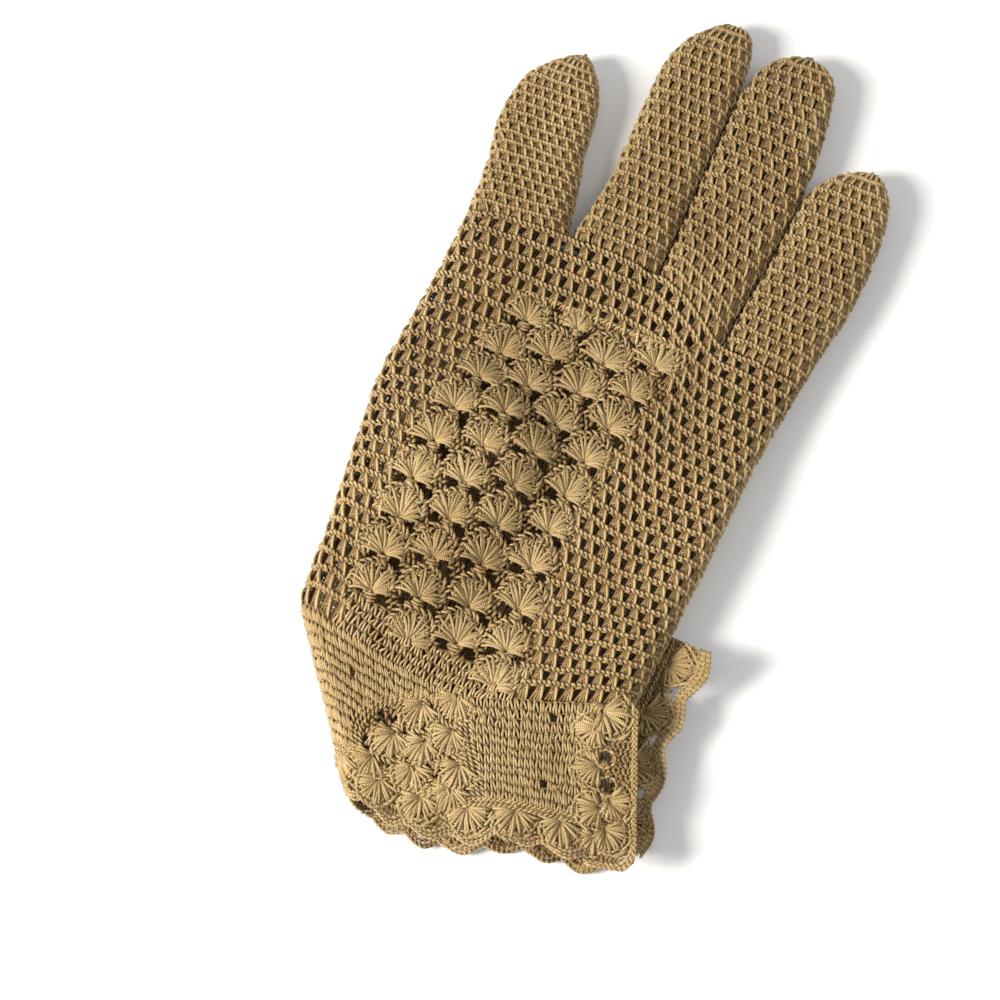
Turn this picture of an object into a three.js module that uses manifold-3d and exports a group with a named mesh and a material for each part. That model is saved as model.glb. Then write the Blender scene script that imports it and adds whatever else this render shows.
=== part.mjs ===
// A crocheted dress glove that lies flat with the back of the hand up.
// Millimetres. X runs to the little finger, Y to the fingertips and Z up from the surface it lies on.
// While it is made, X = 0, Y = 0 is the middle of the wrist.
import * as THREE from 'three';
import { mergeVertices } from 'three/addons/utils/BufferGeometryUtils.js';
import Module from 'manifold-3d';

// Hand and fingers
const PALM_BREADTH = 91;
const PALM_LENGTH = 106;
const HAND_THICKNESS = 13;
const KNUCKLE_THICKNESS = 10.6;
const FINGER_THICKNESS = 9.6;
const WALL = 1.8;
const INDEX_LENGTH = 51;
const MIDDLE_LENGTH = 73.5;
const RING_LENGTH = 77;
const LITTLE_LENGTH = 61;
const PIECE_GAP = 0.3;
const SEAM_GAP = 0.6;
const WEB_DENT = 1.3;
const WEB_WIDTH = 4.5;
const TIP_DROP = 0.9;
const LEAST_HALF = 0.4;

// Thumb, folded under the palm
const THUMB_LENGTH = 50;
const THUMB_BREADTH = 21;
const THUMB_THICKNESS = 8.4;
const THUMB_LEAN = 0.22;
const THUMB_HOLE = 13;
const BACK_RISE = 5;
const LIFT_START = 2;
const LIFT_WIDTH = 15;

// Shell panel
const SHELL_PITCH = 10.9;
const SHELL_ROW = 9.8;
const SHELL_COLUMNS = 4;
const PANEL_MARGIN = 6;
const EYELET_LONG = 3.4;
const EYELET_WIDE = 2.3;

// Cuff
const CUFF_LENGTH = 33;
const CUFF_WALL = 2;
const HEM_BAND = 9.5;
const VENT_BAND = 13.5;
const HEM_SCALLOP = 10.8;
const SCALLOP_DEPTH = 2.6;
const RUFFLE = 1.5;
const FLAP_WIDTH = 12;
const FLAP_START = 24;
const FLAP_CURL = 5;

const clamp = (value, low, high) => Math.min(Math.max(value, low), high);
const lerp = (a, b, share) => a + (b - a) * share;

function smooth(share) {
  const s = clamp(share, 0, 1);
  return s * s * (3 - 2 * s);
}

// Smooth curve through the rows of a table. Its first column is the place along, and the slope at
// each row is kept monotone, so the curve never runs past its rows.
function curve(rows, column) {
  const xs = rows.map((row) => row[0]);
  const ys = rows.map((row) => row[column]);
  const slopes = xs.map((x, i) => {
    if (i === 0 || i === xs.length - 1) {
      const j = i === 0 ? 0 : i - 1;
      return (ys[j + 1] - ys[j]) / (xs[j + 1] - xs[j]);
    }
    const before = (ys[i] - ys[i - 1]) / (xs[i] - xs[i - 1]);
    const after = (ys[i + 1] - ys[i]) / (xs[i + 1] - xs[i]);
    return before * after <= 0 ? 0 : (2 * before * after) / (before + after);
  });
  return (x) => {
    const at = clamp(x, xs[0], xs[xs.length - 1]);
    let i = 0;
    while (i < xs.length - 2 && at > xs[i + 1]) {
      i += 1;
    }
    const span = xs[i + 1] - xs[i];
    const t = (at - xs[i]) / span;
    const t2 = t * t;
    const t3 = t2 * t;
    return (2 * t3 - 3 * t2 + 1) * ys[i] + (t3 - 2 * t2 + t) * span * slopes[i]
      + (3 * t2 - 2 * t3) * ys[i + 1] + (t3 - t2) * span * slopes[i + 1];
  };
}

// Outline of the hand: [share of the palm's length, left edge, right edge], as shares of its breadth
const HAND_EDGES = [
  [0, -0.461, 0.427],
  [0.14, -0.466, 0.438],
  [0.3, -0.492, 0.45],
  [0.45, -0.519, 0.46],
  [0.56, -0.534, 0.466],
  [0.7, -0.524, 0.472],
  [0.86, -0.512, 0.488],
  [1, -0.51, 0.506],
];

// Wrist line and knuckle line: [share of the palm's breadth, share of the palm's length]
const WRIST_LINE = [
  [-0.461, -0.028],
  [-0.3, -0.055],
  [-0.16, -0.075],
  [-0.01, -0.087],
  [0.11, -0.062],
  [0.25, -0.018],
  [0.427, 0.033],
];
const KNUCKLE_LINE = [
  [-0.51, 0.985],
  [-0.224, 1.008],
  [0.04, 0.999],
  [0.16, 0.955],
  [0.27, 0.893],
  [0.506, 0.868],
];

// Where each finger meets the next on the knuckle line, as shares of the palm's breadth
const CROTCHES = [-0.224, 0.04, 0.27];

// Outline of each finger: [share of its length, drift of its middle, breadth], as shares of its root
const FINGERS = [
  {
    name: 'index_finger',
    length: INDEX_LENGTH,
    outline: [
      [0, 0, 1], [0.3, -0.074, 0.93], [0.55, -0.167, 0.92], [0.75, -0.171, 0.82],
      [0.87, -0.149, 0.58], [0.96, -0.12, 0.28], [1, -0.094, 0],
    ],
  },
  {
    name: 'middle_finger',
    length: MIDDLE_LENGTH,
    outline: [
      [0, 0, 1], [0.17, 0.043, 0.92], [0.32, 0.06, 0.87], [0.55, 0.06, 0.88], [0.75, 0.064, 0.87],
      [0.86, 0.1, 0.77], [0.93, 0.15, 0.58], [0.98, 0.19, 0.35], [1, 0.196, 0],
    ],
  },
  {
    name: 'ring_finger',
    length: RING_LENGTH,
    outline: [
      [0, 0, 1], [0.2, 0.046, 1.09], [0.4, 0.083, 1.165], [0.6, 0.097, 1.19], [0.75, 0.085, 1.15],
      [0.86, 0.083, 1.03], [0.93, 0.104, 0.87], [0.98, 0.136, 0.45], [1, 0.146, 0],
    ],
  },
  {
    name: 'little_finger',
    length: LITTLE_LENGTH,
    outline: [
      [0, 0, 1], [0.2, 0.063, 1.066], [0.4, 0.15, 1.1], [0.6, 0.188, 1.08], [0.75, 0.195, 1.04],
      [0.86, 0.223, 0.89], [0.93, 0.268, 0.64], [0.98, 0.324, 0.28], [1, 0.347, 0],
    ],
  },
];

// Thumb from its root to its tip: [share of its length, breadth, thickness], as shares of its own
const THUMB_OUTLINE = [
  [0, 0, 0.35], [0.04, 0.52, 0.75], [0.12, 0.84, 1], [0.3, 1, 1], [0.6, 0.98, 1], [0.8, 0.86, 1],
  [0.92, 0.58, 0.8], [0.98, 0.3, 0.5], [1, 0, 0.35],
];

const leftEdge = curve(HAND_EDGES, 1);
const rightEdge = curve(HAND_EDGES, 2);
const wristShare = curve(WRIST_LINE, 1);
const knuckleShare = curve(KNUCKLE_LINE, 1);
const wristY = (x) => PALM_LENGTH * wristShare(x / PALM_BREADTH);
const knuckleY = (x) => PALM_LENGTH * knuckleShare(x / PALM_BREADTH);

// The thumb's middle line: from its root it leans towards the middle finger
const thumbRoot = new THREE.Vector2(
  PALM_BREADTH * HAND_EDGES[0][1] + THUMB_BREADTH * 0.52,
  PALM_LENGTH * 0.045,
);
const thumbWay = new THREE.Vector2(Math.sin(THUMB_LEAN), Math.cos(THUMB_LEAN));
const thumbSide = new THREE.Vector2(thumbWay.y, -thumbWay.x);

// How far the cloth is lifted by the thumb under it: 1 over the thumb, falling smoothly to 0 around it
function thumbLift(x, y) {
  const radius = THUMB_BREADTH / 2;
  const fromRoot = new THREE.Vector2(x, y).sub(thumbRoot);
  const along = clamp(fromRoot.dot(thumbWay), radius, THUMB_LENGTH - radius);
  const away = fromRoot.distanceTo(thumbWay.clone().multiplyScalar(along)) - radius;
  return 1 - smooth((away - LIFT_START) / LIFT_WIDTH);
}

// Height of a point of the cloth: its own height in a slab of that thickness, lifted by the thumb,
// while a wall of the given inset keeps its thickness
function settle(x, y, z, thickness, inset) {
  const lift = thumbLift(x, y);
  const low = (THUMB_THICKNESS + PIECE_GAP) * lift + inset;
  const high = thickness + BACK_RISE * lift - inset;
  return low + ((z - inset) / (thickness - 2 * inset)) * (high - low);
}

// The two triangles of a four-sided face
function quads(indices, a, b, c, d) {
  indices.push(a, b, c, a, c, d);
}

// The mesh of some points and the faces between them
function body(points, indices) {
  const geometry = new THREE.BufferGeometry();
  geometry.setAttribute('position', new THREE.Float32BufferAttribute(points.flat(), 3));
  geometry.setIndex(indices);
  return geometry;
}

// Section of a flat tube: a slab with half-round edges. It runs from its right edge under the bottom
// to the left edge and back over the top.
function slabRing(left, right, low, high, arcSteps, flatSteps) {
  const radius = Math.min((high - low) / 2, (right - left) / 2);
  const middle = (high + low) / 2;
  const half = (high - low) / 2;
  const ring = [];
  const arc = (centre, from, to, steps) => {
    for (let i = 0; i < steps; i += 1) {
      const angle = lerp(from, to, i / steps);
      ring.push([centre + radius * Math.cos(angle), middle + half * Math.sin(angle)]);
    }
  };
  const flat = (from, to, z) => {
    for (let i = 0; i < flatSteps; i += 1) {
      ring.push([lerp(from, to, i / flatSteps), z]);
    }
  };
  arc(right - radius, 0, Math.PI / 2, arcSteps);
  flat(right - radius, left + radius, high);
  arc(left + radius, Math.PI / 2, (3 * Math.PI) / 2, arcSteps * 2);
  flat(left + radius, right - radius, low);
  arc(right - radius, -Math.PI / 2, 0, arcSteps);
  return ring.reverse();
}

// Wall of a tube from its outer and inner rings. A closed end has a middle point on each side.
function tube(outer, inner, closedEnd) {
  const count = outer[0].length;
  const points = [...outer.flat(), ...inner.flat()];
  const indices = [];
  const at = (rings, offset, row, i) => offset + row * count + (i % count);
  const innerStart = outer.length * count;
  for (let i = 0; i < count; i += 1) {
    for (let row = 0; row < outer.length - 1; row += 1) {
      quads(indices, at(outer, 0, row, i), at(outer, 0, row, i + 1),
        at(outer, 0, row + 1, i + 1), at(outer, 0, row + 1, i));
    }
    for (let row = 0; row < inner.length - 1; row += 1) {
      quads(indices, at(inner, innerStart, row, i + 1), at(inner, innerStart, row, i),
        at(inner, innerStart, row + 1, i), at(inner, innerStart, row + 1, i + 1));
    }
    quads(indices, at(inner, innerStart, 0, i), at(inner, innerStart, 0, i + 1),
      at(outer, 0, 0, i + 1), at(outer, 0, 0, i));
    const lastOuter = outer.length - 1;
    const lastInner = inner.length - 1;
    if (closedEnd) {
      const tip = points.length;
      indices.push(at(outer, 0, lastOuter, i), at(outer, 0, lastOuter, i + 1), tip);
      indices.push(at(inner, innerStart, lastInner, i + 1), at(inner, innerStart, lastInner, i), tip + 1);
    } else {
      quads(indices, at(outer, 0, lastOuter, i), at(outer, 0, lastOuter, i + 1),
        at(inner, innerStart, lastInner, i + 1), at(inner, innerStart, lastInner, i));
    }
  }
  if (closedEnd) {
    points.push(ringMiddle(outer[outer.length - 1], closedEnd[0]));
    points.push(ringMiddle(inner[inner.length - 1], closedEnd[1]));
  }
  return body(points, indices);
}

// The middle of a ring, moved on towards the fingertips
function ringMiddle(ring, reach) {
  const sum = ring.reduce((total, point) => total.map((value, axis) => value + point[axis]), [0, 0, 0]);
  const middle = sum.map((value) => value / ring.length);
  return [middle[0], middle[1] + reach, middle[2]];
}

// Faces of a slab between two grids of points, the upper and the lower one
function closeGrid(indices, acrossSteps, alongSteps, upper, lower) {
  const at = (i, j) => j * (acrossSteps + 1) + i;
  for (let j = 0; j < alongSteps; j += 1) {
    for (let i = 0; i < acrossSteps; i += 1) {
      quads(indices, upper + at(i, j), upper + at(i + 1, j), upper + at(i + 1, j + 1), upper + at(i, j + 1));
      quads(indices, lower + at(i, j + 1), lower + at(i + 1, j + 1), lower + at(i + 1, j), lower + at(i, j));
    }
  }
  for (let i = 0; i < acrossSteps; i += 1) {
    quads(indices, upper + at(i + 1, 0), upper + at(i, 0), lower + at(i, 0), lower + at(i + 1, 0));
    quads(indices, upper + at(i, alongSteps), upper + at(i + 1, alongSteps),
      lower + at(i + 1, alongSteps), lower + at(i, alongSteps));
  }
  for (let j = 0; j < alongSteps; j += 1) {
    quads(indices, upper + at(0, j), upper + at(0, j + 1), lower + at(0, j + 1), lower + at(0, j));
    quads(indices, upper + at(acrossSteps, j + 1), upper + at(acrossSteps, j),
      lower + at(acrossSteps, j), lower + at(acrossSteps, j + 1));
  }
}

// A sheet of even thickness around a surface given at shares (across, along), with closed edges
function sheet(surface, acrossSteps, alongSteps, thickness) {
  const nudge = 0.004;
  const sides = [[], []];
  for (let j = 0; j <= alongSteps; j += 1) {
    for (let i = 0; i <= acrossSteps; i += 1) {
      const u = i / acrossSteps;
      const v = j / alongSteps;
      const here = new THREE.Vector3(...surface(u, v));
      const alongU = new THREE.Vector3(...surface(u + nudge, v))
        .sub(new THREE.Vector3(...surface(u - nudge, v)));
      const alongV = new THREE.Vector3(...surface(u, v + nudge))
        .sub(new THREE.Vector3(...surface(u, v - nudge)));
      const normal = alongU.cross(alongV).normalize().multiplyScalar(thickness / 2);
      sides[0].push(here.clone().add(normal).toArray());
      sides[1].push(here.clone().sub(normal).toArray());
    }
  }
  const indices = [];
  closeGrid(indices, acrossSteps, alongSteps, 0, sides[0].length);
  return body([...sides[0], ...sides[1]], indices);
}

// Joining and cutting
const wasm = await Module();
wasm.setup();

function toSolid(geometry) {
  const bare = geometry.clone();
  bare.deleteAttribute('normal');
  bare.deleteAttribute('uv');
  const merged = mergeVertices(bare, 1e-4);
  return new wasm.Manifold(new wasm.Mesh({
    numProp: 3,
    vertProperties: new Float32Array(merged.attributes.position.array),
    triVerts: new Uint32Array(merged.index.array),
  }));
}

function toGeometry(solid) {
  const mesh = solid.getMesh();
  const geometry = new THREE.BufferGeometry();
  geometry.setAttribute('position', new THREE.BufferAttribute(new Float32Array(mesh.vertProperties), 3));
  geometry.setIndex(new THREE.BufferAttribute(new Uint32Array(mesh.triVerts), 1));
  return geometry;
}

// An upright prism over an outline, between two heights
function prism(outline, low, high) {
  const shape = new THREE.Shape(outline.map(([x, y]) => new THREE.Vector2(x, y)));
  const geometry = new THREE.ExtrudeGeometry(shape, { depth: high - low, bevelEnabled: false });
  geometry.translate(0, 0, low);
  return toSolid(geometry);
}

// An upright oval cutter, turned in the plane
function oval(x, y, wide, long, turn, low, high, sides) {
  const geometry = new THREE.CylinderGeometry(0.5, 0.5, high - low, sides);
  geometry.rotateX(Math.PI / 2);
  geometry.scale(wide, long, 1);
  geometry.rotateZ(turn);
  geometry.translate(x, y, (low + high) / 2);
  return toSolid(geometry);
}

// Half way up the hollow, between the palm layer and the back layer
const middleHeight = (x, y) => settle(x, y, HAND_THICKNESS / 2, HAND_THICKNESS, 0);
const OVER_ALL = HAND_THICKNESS * 2 + THUMB_THICKNESS + BACK_RISE;

// A cutter for an eyelet in the back layer
function eyelet(x, y, wide, long, turn) {
  return oval(x, y, wide, long, turn, middleHeight(x, y), OVER_ALL, 6);
}

// The space over the middle of the hollow, under which nothing is cut
function overMiddle() {
  const steps = 24;
  const reach = PALM_BREADTH * 0.75;
  const low = -CUFF_LENGTH * 2;
  const high = PALM_LENGTH * 1.1;
  const lower = [];
  const upper = [];
  for (let j = 0; j <= steps; j += 1) {
    for (let i = 0; i <= steps; i += 1) {
      const x = lerp(-reach, reach, i / steps);
      const y = lerp(low, high, j / steps);
      lower.push([x, y, middleHeight(x, y)]);
      upper.push([x, y, OVER_ALL + WALL]);
    }
  }
  const indices = [];
  closeGrid(indices, steps, steps, lower.length, 0);
  return toSolid(body([...lower, ...upper], indices));
}

function cutAll(solid, cutters) {
  return cutters.reduce((rest, cutter) => rest.subtract(cutter), solid);
}

// Hand

// Valleys that run down from the webs between the fingers
function webDent(x, y) {
  return CROTCHES.reduce((total, crotch) => {
    const webX = crotch * PALM_BREADTH;
    const near = Math.exp(-(((x - webX) / WEB_WIDTH) ** 2));
    return total + WEB_DENT * near * smooth(1 - (knuckleY(webX) - y) / (PALM_LENGTH * 0.26));
  }, 0);
}

function handRing(share, inset) {
  const thickness = lerp(HAND_THICKNESS, KNUCKLE_THICKNESS, smooth((share - 0.45) / 0.55));
  const left = PALM_BREADTH * leftEdge(share) + inset;
  const right = PALM_BREADTH * rightEdge(share) - inset;
  const ring = slabRing(left, right, inset, thickness - inset, 3, 12);
  return ring.map(([x, z]) => {
    const y = lerp(wristY(x), knuckleY(x), share);
    const top = smooth((z / thickness - 0.5) * 2);
    return [x, y, settle(x, y, z, thickness, inset) - webDent(x, y) * top];
  });
}

function handTube() {
  const rows = 14;
  const shares = Array.from({ length: rows }, (_, i) => i / (rows - 1));
  return toSolid(tube(shares.map((s) => handRing(s, 0)), shares.map((s) => handRing(s, WALL)), null));
}

// Shell panel: the columns lean and bow a little, and each starts a third of a row above the last
const PANEL_TOP = PALM_LENGTH * 0.845;
const PANEL_BOW = [
  [-0.1, 0.045],
  [0.08, 0.018],
  [0.34, 0],
  [0.6, 0.035],
  [0.85, 0.1],
];
const panelBow = curve(PANEL_BOW, 1);
const SHELL_STEP = SHELL_ROW * 0.36;
const TOP_SHELL = PALM_LENGTH * 0.77;
const PANEL_LEFT = -0.306 * PALM_BREADTH;
const EYELET_REACH = SHELL_PITCH * 0.27;
const EYELET_TURN = 0.35;
const shellX = (column, y) => PANEL_LEFT + SHELL_PITCH * column + PALM_BREADTH * panelBow(y / PALM_LENGTH);

// The panel's outline, from its lower right corner up, across and down again
function panelOutline(margin) {
  const steps = 6;
  const side = (column, outward, up) => Array.from({ length: steps + 1 }, (_, i) => {
    const share = up ? i / steps : 1 - i / steps;
    const low = wristY(shellX(column, 0)) + PANEL_MARGIN * 0.4 - margin;
    const y = lerp(low, PANEL_TOP + margin, share);
    return [shellX(column, y) + outward * (PANEL_MARGIN + margin), y];
  });
  return [...side(SHELL_COLUMNS - 1, 1, true), ...side(0, -1, false)];
}

// Where each shell of the panel starts, as long as there is room for it above and below
function shellBases() {
  const bases = [];
  for (let column = 0; column < SHELL_COLUMNS; column += 1) {
    let y = TOP_SHELL + SHELL_STEP * column;
    while (y > wristY(shellX(column, y)) + SHELL_ROW * 0.35) {
      if (y < PANEL_TOP - SHELL_ROW * 0.45) {
        bases.push([shellX(column, y), y]);
      }
      y -= SHELL_ROW;
    }
  }
  return bases;
}

// An eyelet on each side of every shell's start
function panelEyelets() {
  return shellBases().flatMap(([x, y]) => [-1, 1].map((side) => eyelet(
    x + side * EYELET_REACH, y - SHELL_ROW * 0.06, EYELET_WIDE, EYELET_LONG, side * EYELET_TURN,
  )));
}

// Thumb hole in the palm and the matching hole in the top of the thumb
function thumbHole(low, high) {
  const middle = thumbRoot.clone().add(thumbWay.clone().multiplyScalar(THUMB_LENGTH * 0.27));
  return oval(middle.x, middle.y, THUMB_HOLE, THUMB_HOLE * 1.2, -THUMB_LEAN, low, high, 12);
}

// The thumb: a pouch in a pouch, lying on the surface under the palm
function thumb() {
  const breadth = curve(THUMB_OUTLINE, 1);
  const thickness = curve(THUMB_OUTLINE, 2);
  const shares = [0.02, 0.07, 0.14, 0.3, 0.5, 0.68, 0.82, 0.91, 0.96, 0.99];
  const rings = (inset) => shares.map((share) => {
    const inner = inset > 0;
    const along = THUMB_LENGTH * share + (inner ? inset * (1 - 2 * share) : 0);
    const half = Math.max((THUMB_BREADTH * breadth(share)) / 2 - inset, LEAST_HALF);
    const high = THUMB_THICKNESS * thickness(share) - inset;
    const ring = slabRing(-half, half, inset, Math.max(high, inset + LEAST_HALF), 2, 3);
    return ring.map(([side, z]) => {
      const place = thumbRoot.clone()
        .add(thumbWay.clone().multiplyScalar(along))
        .add(thumbSide.clone().multiplyScalar(side));
      return [place.x, place.y, z];
    });
  });
  const outer = toSolid(pouch(rings(0)));
  const inner = toSolid(pouch(rings(WALL)));
  return outer.subtract(inner.add(thumbHole(THUMB_THICKNESS - WALL * 1.5, THUMB_THICKNESS + WALL)));
}

// A closed pouch from rings, with a middle point at each end
function pouch(rings) {
  const count = rings[0].length;
  const points = rings.flat();
  const first = points.length;
  points.push(ringMiddle(rings[0], 0), ringMiddle(rings[rings.length - 1], 0));
  const indices = [];
  const last = (rings.length - 1) * count;
  for (let i = 0; i < count; i += 1) {
    const next = (i + 1) % count;
    for (let row = 0; row < rings.length - 1; row += 1) {
      const start = row * count;
      quads(indices, start + i, start + next, start + count + next, start + count + i);
    }
    indices.push(next, i, first);
    indices.push(last + i, last + next, first + 1);
  }
  return body(points, indices);
}

// Fingers
const [, knuckleLeft, knuckleRight] = HAND_EDGES.at(-1);
const rootEdges = [knuckleLeft, ...CROTCHES, knuckleRight].map((share) => share * PALM_BREADTH);

// Left and right edge of a finger at a share of its length
function fingerEdge(index, share, side) {
  const finger = FINGERS[index];
  const root = rootEdges[index + 1] - rootEdges[index];
  const middle = (rootEdges[index + 1] + rootEdges[index]) / 2 + root * curve(finger.outline, 1)(share);
  const squares = finger.outline.map(([along, , breadth]) => [along, breadth * breadth]);
  const breadth = Math.sqrt(Math.max(curve(squares, 1)(share), 0));
  return middle + (side * root * breadth) / 2;
}

const fingerRoot = (index) => knuckleY((rootEdges[index] + rootEdges[index + 1]) / 2) + SEAM_GAP;

// How far up a point of a finger is: its root follows the knuckle line, its tip is square across
function fingerY(index, share, x) {
  const root = fingerRoot(index);
  return root + FINGERS[index].length * share + (knuckleY(x) + SEAM_GAP - root) * (1 - share) ** 2;
}

// Share of a finger's length at which its edge on one side passes a height, by halving
function shareAt(index, y, side) {
  let low = 0;
  let high = 1;
  for (let i = 0; i < 24; i += 1) {
    const share = (low + high) / 2;
    if (fingerY(index, share, fingerEdge(index, share, side)) < y) {
      low = share;
    } else {
      high = share;
    }
  }
  return (low + high) / 2;
}

// The seam between a finger and the one beside it, half way between the edges they would have alone
function seam(index, other, y, side) {
  if (other < 0 || other >= FINGERS.length || y > fingerRoot(other) + FINGERS[other].length) {
    return side * Infinity;
  }
  const own = fingerEdge(index, shareAt(index, y, side), side);
  const beside = fingerEdge(other, shareAt(other, y, -side), -side);
  return (own + beside) / 2 - side * SEAM_GAP / 2;
}

// Section of a finger, as thin as its rounded tip is there
function fingerRing(index, share, inset) {
  const edge = (side) => {
    const own = fingerEdge(index, share, side);
    const limit = seam(index, index + side, fingerY(index, share, own), side);
    return side * Math.min(side * own, side * limit) - side * inset;
  };
  let right = edge(1);
  let left = edge(-1);
  const thickness = lerp(KNUCKLE_THICKNESS, FINGER_THICKNESS, smooth(share * 2));
  const tip = Math.sqrt(Math.max(1 - clamp((share - 0.78) / 0.235, 0, 1) ** 2, 0));
  const half = Math.max((thickness / 2) * tip - inset, PIECE_GAP);
  const middle = thickness / 2 - (1 - tip) * TIP_DROP;
  if (right - left < LEAST_HALF * 2) {
    const centre = (left + right) / 2;
    left = centre - LEAST_HALF;
    right = centre + LEAST_HALF;
  }
  const ring = slabRing(left, right, middle - half, middle + half, 3, 4);
  return ring.map(([x, z]) => [x, fingerY(index, share, x), z]);
}

function finger(index) {
  const length = FINGERS[index].length;
  const shares = [0, 0.15, 0.32, 0.5, 0.66, 0.78, 0.87, 0.93, 0.97, 0.99];
  const innerShares = [0, 0.15, 0.32, 0.5, 0.66, 0.78, 0.86, 0.91, 1 - (WALL * 1.3) / length];
  const outer = shares.map((share) => fingerRing(index, share, 0));
  const inner = innerShares.map((share) => fingerRing(index, share, WALL));
  return toSolid(tube(outer, inner, [length * 0.008, length * 0.0015]));
}

// Cuff: a C in section, round the fold on the index side and open at the vent. Around it, v = 1 is
// the back layer's vent edge, 0 the fold and -1 the palm layer's vent edge. Down it, s = 0 is the
// wrist line and 1 the hem.
//
// From the wrist line to the hem, at the fold and at the vent, as shares of the cuff's length
const CUFF_WAY = { fold: [0.85, -1.09], vent: [0.412, -1.02] };

// How far the hem hangs below the straight line between its corners: [share across, share of the
// cuff's length]
const HEM_BULGE = [[0, 0], [0.15, 0.14], [0.3, 0.19], [0.45, 0.16], [0.6, 0.06], [0.8, 0.07], [1, 0.03]];
const hemBulge = curve(HEM_BULGE, 1);
const PALM_NARROWER = 0.1;
const VENT_DROOP = 3;

const wristPlace = ([across, along]) => [PALM_BREADTH * across, PALM_LENGTH * along];
const corners = { fold: wristPlace(WRIST_LINE.at(0)), vent: wristPlace(WRIST_LINE.at(-1)) };

// A point of the cuff's middle surface: two flat layers joined by a half circle at the fold
function cuffPoint(v, s) {
  const start = (side) => corners[side].map((value, axis) => value + CUFF_WAY[side][axis] * CUFF_LENGTH * s);
  const fold = start('fold');
  const vent = start('vent');
  const breadth = Math.hypot(vent[0] - fold[0], vent[1] - fold[1]);
  const radius = (HAND_THICKNESS - CUFF_WALL) / 2;
  const quarter = (Math.PI / 2) * radius;
  const narrower = v < 0 ? PALM_NARROWER * breadth * s : 0;
  const flat = breadth - HAND_THICKNESS / 2 - narrower;
  const run = Math.abs(v) * (quarter + flat);
  const side = Math.sign(v);
  let out = HAND_THICKNESS / 2 + run - quarter;
  let z = HAND_THICKNESS / 2 + side * radius;
  if (run < quarter) {
    out = HAND_THICKNESS / 2 - radius * Math.cos(run / radius);
    z = HAND_THICKNESS / 2 + side * radius * Math.sin(run / radius);
  }
  const share = out / breadth;
  const x = lerp(fold[0], vent[0], share);
  const chord = lerp(fold[1], vent[1], share);
  const wristX = lerp(corners.fold[0], corners.vent[0], share);
  const dip = wristY(wristX) - lerp(corners.fold[1], corners.vent[1], share);
  const y = chord + lerp(dip, -hemBulge(share) * CUFF_LENGTH, s);
  const droop = v > 0 ? VENT_DROOP * s * smooth((share - 0.7) / 0.3) : 0;
  return [x, y, settle(x, y, z, HAND_THICKNESS, CUFF_WALL / 2) - droop];
}

const ventShare = VENT_BAND / PALM_BREADTH;
const cuffTop = (SEAM_GAP * 1.5) / CUFF_LENGTH;
const bandEnd = 1 - (HEM_BAND + SEAM_GAP * 0.6) / CUFF_LENGTH;
const hemStart = 1 - (HEM_BAND - SEAM_GAP * 0.6) / CUFF_LENGTH;
const bandVent = 1 - ventShare - PIECE_GAP / PALM_BREADTH / 2;
const edgingVent = 1 - ventShare + PIECE_GAP / PALM_BREADTH / 2;

// Wedge of shells: [share down the cuff, left edge, right edge] as shares across the back layer
const INSERT_EDGES = [
  [0, 0.5, 0.56],
  [0.1, 0.43, 0.57],
  [0.24, 0.31, 0.56],
  [0.36, 0.225, 0.555],
  [0.6, 0.13, 0.555],
  [1.2, 0.1, 0.555],
];

// Middles of its shells: [share down the cuff, share across the back layer]
const INSERT_SHELLS = [[0.19, 0.495], [0.28, 0.39], [0.36, 0.49], [0.45, 0.28], [0.56, 0.365], [0.55, 0.475]];

// The plan of a point of the cuff
const onCuff = (share, s) => cuffPoint(share, s).slice(0, 2);

// The wedge's outline: down its left edge, along the hem's border and up its right edge
function insertOutline(margin) {
  const acrossGap = margin / PALM_BREADTH;
  const left = curve(INSERT_EDGES, 1);
  const right = curve(INSERT_EDGES, 2);
  const top = 0.1 - margin / CUFF_LENGTH;
  const stations = [top, 0.2, 0.3, 0.45, 0.6, bandEnd + 0.06];
  const low = stations[stations.length - 1];
  const across = [0.2, 0.4, 0.6, 0.8].map((share) => lerp(left(low), right(low), share));
  return [
    ...stations.map((s) => onCuff(left(s) - acrossGap, s)),
    ...across.map((share) => onCuff(share, low)),
    ...stations.reverse().map((s) => onCuff(right(s) + acrossGap, s)),
  ];
}

const hemRound = (corners.vent[0] - corners.fold[0]) * (bandVent + 1 - PALM_NARROWER);
const hemScallops = Math.round(hemRound / HEM_SCALLOP);
const HEM_STEPS = hemScallops * 3;

// The cuff without its borders
function cuffSheet() {
  const surface = (u, w) => cuffPoint(lerp(bandVent, -1, u), lerp(cuffTop, bandEnd, w));
  return toSolid(sheet(surface, HEM_STEPS, 4, CUFF_WALL));
}

// How far the cuff's edge is ruffled up at a place, in waves a little longer or shorter than a scallop
const ruffle = (scallops, waves) => RUFFLE * (0.5 + 0.5 * Math.sin(Math.PI * scallops * waves));

// A cutter for an eyelet in a border
function borderEyelet([x, y, z], wide, long, turn) {
  return oval(x, y, wide, long, turn, z - CUFF_WALL * 1.6, z + CUFF_WALL * 1.6, 6);
}

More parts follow.
